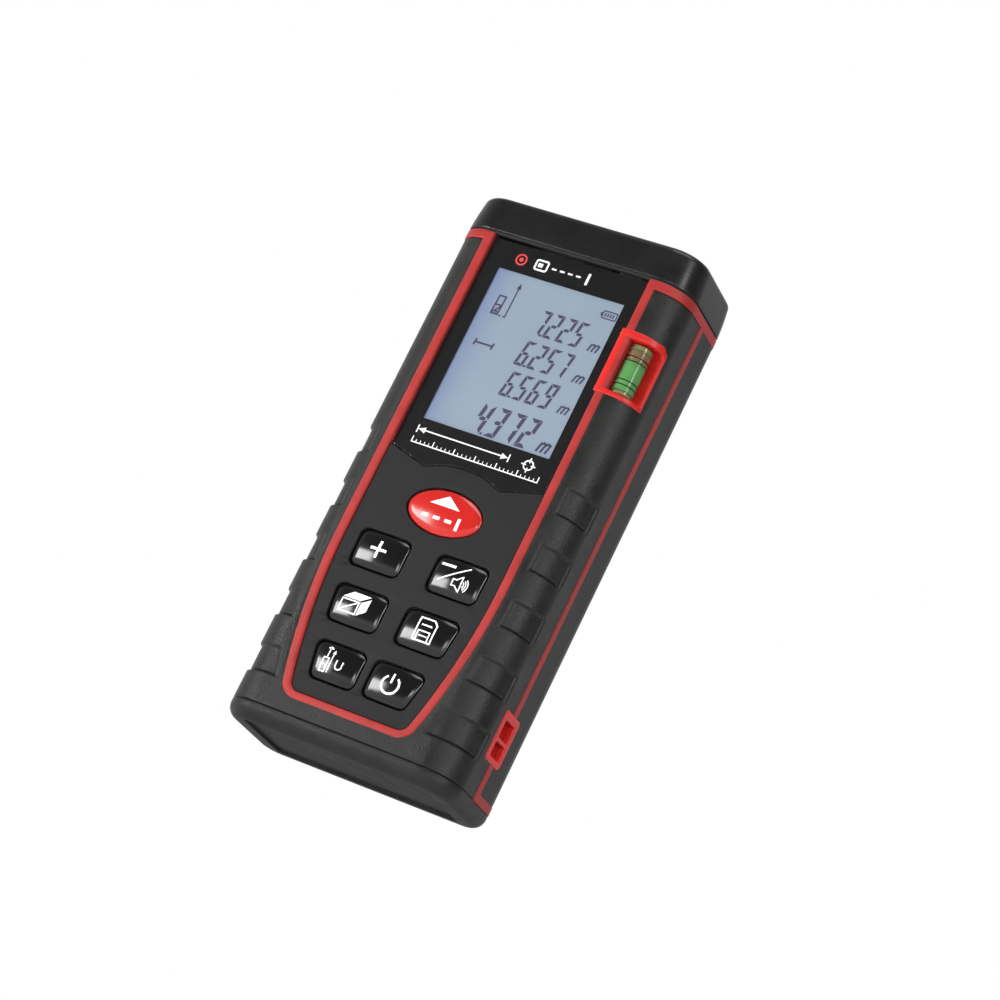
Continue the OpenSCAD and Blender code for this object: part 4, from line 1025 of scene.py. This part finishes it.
# ------------------------------------------------------------------ keys
def key_cap(body, outline, centre, crown, drop, material, draw):
    """A cap with a crowned top, round shoulders and walls that run down into its opening, and its symbol."""
    shoulder, steps, inner_rings = 1.3, 12, 10

    def top(x, z):
        return Y_KEY + 0.03 + (x - centre[0]) ** 2 / (2 * crown[0]) + (z - centre[1]) ** 2 / (2 * crown[1])

    rows = [[(x, -9.0, z) for x, z in offset(outline, -0.05)], [(x, -10.9, z) for x, z in outline]]
    for k in range(steps + 1):
        a = math.pi / 2 * k / steps
        loop = offset(outline, shoulder * (1 - math.cos(a)))
        rows.append([(x, top(x, z) + drop * (1 - math.sin(a)), z) for x, z in loop])
    inner = offset(outline, shoulder)
    for k in range(1, inner_rings):
        s = 1 - k / inner_rings
        pts = [(centre[0] + (x - centre[0]) * s, centre[1] + (z - centre[1]) * s) for x, z in inner]
        rows.append([(x, top(x, z), z) for x, z in pts])
    shape = Shape()
    last = shape.rings(rows)[-1]
    tip = shape.add([(centre[0], top(*centre), centre[1])])[0]
    shape.f += [(a, b, tip) for a, b in zip(last, last[1:] + last[:1])]
    finish_mesh(body + "_cap", shape, material, body, [body], 60, weighted=False)
    pen = Pen(lambda x, z: top(x, z) - 0.014)
    draw(pen)
    pen.finish(body + "_symbol", "white", body)


def draw_plus(pen):
    pen.lines(0.55, (-10.3, 37.9, -6.9, 37.9), (-8.6, 36.2, -8.6, 39.6))


def draw_minus(pen):
    """A minus sign, a slash and a loudspeaker."""
    pen.lines(0.5, (4.3, 39.6, 7.4, 39.6))
    pen.lines(0.28, (4.9, 36.4, 10.4, 40.2))
    pen.line([(8.0, 36.2), (8.75, 36.2), (9.8, 35.3), (9.8, 38.3), (8.75, 37.4), (8.0, 37.4)], 0.24, True)
    for k in range(3):
        pen.line(arc_points(9.6, 36.8, 0.75 + 0.42 * k, -48, 48), 0.2)


def draw_area(pen):
    """A box with one diagonal and two filled sides."""
    pen.line(box_points((-10.8, 24.8), (-7.1, 27.2)), 0.28, True)
    pen.lines(0.26, (-10.7, 24.9, -7.2, 27.1))
    pen.patch([(-10.9, 27.55), (-7.1, 27.55), (-5.35, 28.9), (-9.15, 28.9)])
    pen.patch([(-6.75, 24.7), (-5.15, 25.9), (-5.15, 28.5), (-6.75, 27.25)])


def draw_save(pen):
    """A memory disc."""
    pen.line([(5.6, 24.4), (9.3, 24.4), (9.3, 28.0), (8.5, 28.8), (5.6, 28.8)], 0.3, True)
    pen.lines(0.3, (6.3, 27.5, 8.5, 27.5))
    pen.line([(6.2, 24.5), (6.2, 26.3), (8.6, 26.3), (8.6, 24.5)], 0.26)
    pen.lines(0.24, (6.5, 25.4, 8.3, 25.4))


def draw_reference(pen):
    """The meter with its beam and its two measuring edges, in place of the printed pictogram."""
    x = -8.15
    pen.line(box_points((x - 0.55, 12.9), (x + 0.55, 15.6)), 0.24, True)
    pen.lines(0.22, (x - 0.5, 14.3, x + 0.5, 14.3), (x, 15.8, x, 17.3), (x + 1.15, 12.9, x + 1.15, 16.8))
    pen.rays(x, 17.2, 0.3, 0.65, 0.2, range(30, 151, 30))
    pen.patch([(x + 0.8, 16.6), (x + 1.5, 16.6), (x + 1.15, 17.4)])
    pen.line(arc_points(-5.2, 14.7, 0.65, 180, 360) + [(-4.55, 15.7)], 0.26)
    pen.lines(0.26, (-5.85, 14.7, -5.85, 15.7))


def draw_clear(pen):
    """A power symbol."""
    x, z = key_centre(2, 1)
    pen.line(arc_points(x - 0.1, z - 0.1, 1.75, 125, 415, 28), 0.42)
    pen.lines(0.42, (x - 0.1, z + 0.2, x - 0.1, z + 2.1))


def draw_read(pen):
    """A triangle over a dashed beam that ends at a wall."""
    pen.patch([(-3.4, 49.7), (3.0, 49.7), (-0.2, 51.9)])
    for x in (-4.0, -1.5, 1.0):
        pen.lines(0.62, (x, 47.2, x + 1.4, 47.2))
    pen.lines(0.62, (3.7, 46.0, 3.7, 48.4))


def keys():
    for body, row, side, draw in (
        ("plus_key", 0, -1, draw_plus), ("minus_key", 0, 1, draw_minus),
        ("area_key", 1, -1, draw_area), ("save_key", 1, 1, draw_save),
        ("reference_key", 2, -1, draw_reference), ("clear_key", 2, 1, draw_clear),
    ):
        outline = divided(key_outline(row, side), 0.3)
        key_cap(body, outline, key_centre(row, side), (25, 15), 0.6, "key_black", draw)
    key_cap("read_key", oval(), (0, READ_Z), (50, 20), 0.55, "red_key", draw_read)


# ------------------------------------------------------------------ vial
def lathe(profile, n=48):
    """Rings round the vial's axis, from (radius, height) pairs."""
    turn = circle(0, 0, 1, n)
    return [[(VIAL_X + r * c, VIAL_Y + r * s, z) for c, s in turn] for r, z in profile]


def turned(name, profiles, material, body, replaces):
    """Round solids on the vial's axis, closed at both ends."""
    shape = Shape()
    for profile in profiles:
        loops = shape.rings(lathe(profile))
        shape.f += [loops[0], loops[-1]]
    return finish_mesh(name, shape, material, body, replaces)


def vial():
    lo, hi = VIAL_Z
    r = VIAL_R
    shape = Shape()
    outer = [(r - 0.2, lo), (r - 0.06, lo + 0.06), (r, lo + 0.2), (r, hi - 0.2), (r - 0.06, hi - 0.06),
             (r - 0.2, hi)]
    shape.rings(lathe(outer, 64))
    finish_mesh("vial_glass", shape, "vial", "case", ["vial_tube"])
    plug = [(BORE_R - 0.15, 0), (BORE_R - 0.02, 0.1), (BORE_R - 0.02, PLUG_T - 0.1), (BORE_R - 0.15, PLUG_T)]
    turned("vial_end_plugs", [[(pr, z + pz) for pr, pz in plug] for z in (lo, hi - PLUG_T)], "plug", "case",
           ["vial_plugs"])
    shape = Shape()
    mark = [(0, -0.1), (0.025, -0.07), (0.025, 0.07), (0, 0.1), (-0.03, 0), (0, -0.1)]
    for z in (88.85, 87.95, 84.0, 83.05):
        shape.rings(lathe([(r + out, z + up) for out, up in mark], 64))
    finish_mesh("vial_marks", shape, "tape", "case", ())
    fill = r - 0.08  # the thick wall magnifies the liquid to nearly its full width
    low, roof, (top, high) = lo + PLUG_T, hi - PLUG_T, BUBBLE_Z
    # Each ring of the liquid follows the case or the bubble in full, so the column stays straight.
    rows = [(fill - 0.1, low), (fill, low + 0.05), (fill, top - 0.02), (fill - 0.5, top - 0.12),
            (fill - 1.2, top - 0.16)]
    liquid = turned("vial_liquid_low", [rows], "liquid", None, ())
    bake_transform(liquid)
    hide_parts("vial_liquid")
    rows = [(fill - 1.2, high + 0.02), (fill - 0.4, high + 0.01), (fill, high), (fill, roof - 0.03),
            (fill - 0.1, roof)]
    upper = turned("vial_liquid_high", [rows], "liquid", None, ())
    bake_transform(upper)
    rows = [(0.5, top - 0.1), (1.4, top - 0.05), (2.05, top + 0.1), (2.16, top + 0.35), (2.16, high - 0.45),
            (1.95, high - 0.12), (1.4, high - 0.03), (0.5, high)]
    # The bubble's brown haze is a painted view of what lies behind it.
    turned("vial_air_bubble", [rows], "bubble", "bubble", ["vial_bubble"])


# ------------------------------------------------------------------ back
def label():
    """The label on the back, with a warning triangle and a ruled table with no words in it."""
    shape = Shape()
    outline = rounded(box_points((-12, 67.5), (12, 92.5)), 1.4, 8)
    shape.plate(FRONT, outline, [], Y_BACK - 0.1, Y_BACK - 0.25, 0.03, 1)
    finish_mesh("back_label", shape, "label", "case", ["rating_label"])
    ink = Pen(Y_BACK - 0.09)
    ink.line(offset(outline, 0.8), 0.18, True)
    ink.line([(-8.2, 84.2), (-2.6, 84.2), (-5.4, 89.2)], 0.45, True)
    ink.rays(-5.4, 85.9, 0.3, 1.1, 0.2, range(0, 360, 45))
    for k in range(5):
        ink.lines(0.28, (0.5, 84.4 + 1.1 * k, 9.2 - 1.2 * (k % 2), 84.4 + 1.1 * k))
    for k in range(4):
        ink.lines(0.16, (-9.8, 81.4 - 3.4 * k, 9.8, 81.4 - 3.4 * k))
    for x in (-9.8, -1.5, 9.8):
        ink.lines(0.16, (x, 71.2, x, 81.4))
    for k in range(3):
        z = 79.7 - 3.4 * k
        ink.lines(0.4, (-8.9, z, -3.0 - k, z), (-0.6, z, 6.0 + k, z))
    ink.finish("label_drawings", "label_ink", "case")


grip_skin()
foot()
red_bezel()
red_ring()
side_strip("red_line_left", -1)
side_strip("red_line_right", 1)
foot_band()
vial_frame()
eyelet()
end_cap()
optics_panel()
display()
window()
window_drawings()
face_plate()
keys()
vial()
label()


# ------------------------------------------------------------------ stage (in metres)
FRONT_GLOW, BACK_GLOW = 0.18, 1.05  # how bright the surroundings are on the display side and behind
BRIGHT_WAY = (-0.62, 1.0, -0.5)
FLOOR_HALF, FLOOR_Z = 3.0, -0.0004
LIGHT_TARGET = (0, 0, 0.056)
LIGHTS = [  # name, direction from the target, distance, size, watts
    ("right_strip", (0.84, -0.5, 0.2), 0.7, (0.1, 0.7), 2.3),
    ("left_box", (-0.68, -0.72, -0.1), 0.7, (0.3, 0.34), 4.2),
    ("overhead", (0.1, -0.35, 0.93), 0.8, (0.7, 0.5), 3.6),
    ("front_fill", (0.45, -0.88, -0.1), 1.1, (0.4, 0.4), 3.4),
    ("low_fill", (-0.3, -0.36, -0.88), 0.9, (0.5, 0.4), 6.8),
]
CAMERA_PLACE = (0.275455, -0.530371, -0.098643)
CAMERA_TURN = (106.318584, -25.299163, 20.058212)  # degrees
CAMERA_LENS, SENSOR_WIDTH = 119.02, 36.0


def softbox(name, direction, distance, size, watts):
    data = bpy.data.lights.new(name, "AREA")
    data.shape = "RECTANGLE"
    data.size, data.size_y = size
    data.energy = watts
    obj = scene_object(name, data)
    way = Vector(direction).normalized()
    obj.location = Vector(LIGHT_TARGET) + way * distance
    obj.rotation_mode = "QUATERNION"
    obj.rotation_quaternion = way.to_track_quat("Z", "Y")


def world():
    """White to the camera. What lights the object is dim on the display side and bright behind it."""
    bpy.context.scene.world = bpy.data.worlds.new("studio")
    n = Nodes(bpy.context.scene.world, "World")
    facing = n.vector("DOT_PRODUCT", n.coord, BRIGHT_WAY)
    light = n.shader("Background", Strength=n.spread(facing, -0.7, 1.2, FRONT_GLOW, BACK_GLOW, "SMOOTHSTEP"))
    seen = n.shader("Background", Color=rgb(1, 1, 1), Strength=1.0)
    n.surface(n.either(n.new("ShaderNodeLightPath").outputs["Is Camera Ray"], light, seen))


def floor():
    """A pale floor that runs out into white. It shows from above only: the camera looks up from below it."""
    mesh = bpy.data.meshes.new("floor")
    corners = box_points((-FLOOR_HALF, -FLOOR_HALF), (FLOOR_HALF, FLOOR_HALF))
    mesh.from_pydata([(x, y, FLOOR_Z) for x, y in corners], [], [(0, 1, 2, 3)])
    n = new_material("floor_paper")
    tone = n.spread(n.noise(30.0), 0.3, 0.7, 0.0, 1.0)
    paper = n.shader("BsdfDiffuse", Color=n.mix(tone, rgb(0.86, 0.86, 0.86), rgb(0.88, 0.88, 0.88)))
    white = n.shader("Emission", Color=rgb(1, 1, 1), Strength=1.0)
    away = n.spread(n.vector("LENGTH", n.coord), 0.05, 0.3, 0.25, 1.0, "SMOOTHSTEP")
    hidden = n.shader("BsdfTransparent")
    mesh.materials.append(n.surface(n.either(n.facing_away(), n.either(away, paper, white), hidden)))
    obj = scene_object("floor", mesh)
    obj.visible_shadow = False
    obj.visible_diffuse = False


def camera():
    data = bpy.data.cameras.new("camera")
    data.lens, data.sensor_width = CAMERA_LENS, SENSOR_WIDTH
    data.clip_start, data.clip_end = 0.01, 20.0
    obj = scene_object("camera", data)
    obj.location = CAMERA_PLACE
    obj.rotation_euler = tuple(map(math.radians, CAMERA_TURN))
    bpy.context.scene.camera = obj


world()
floor()
for light in LIGHTS:
    softbox(*light)
camera()
bpy.context.scene.view_settings.view_transform = "Standard"
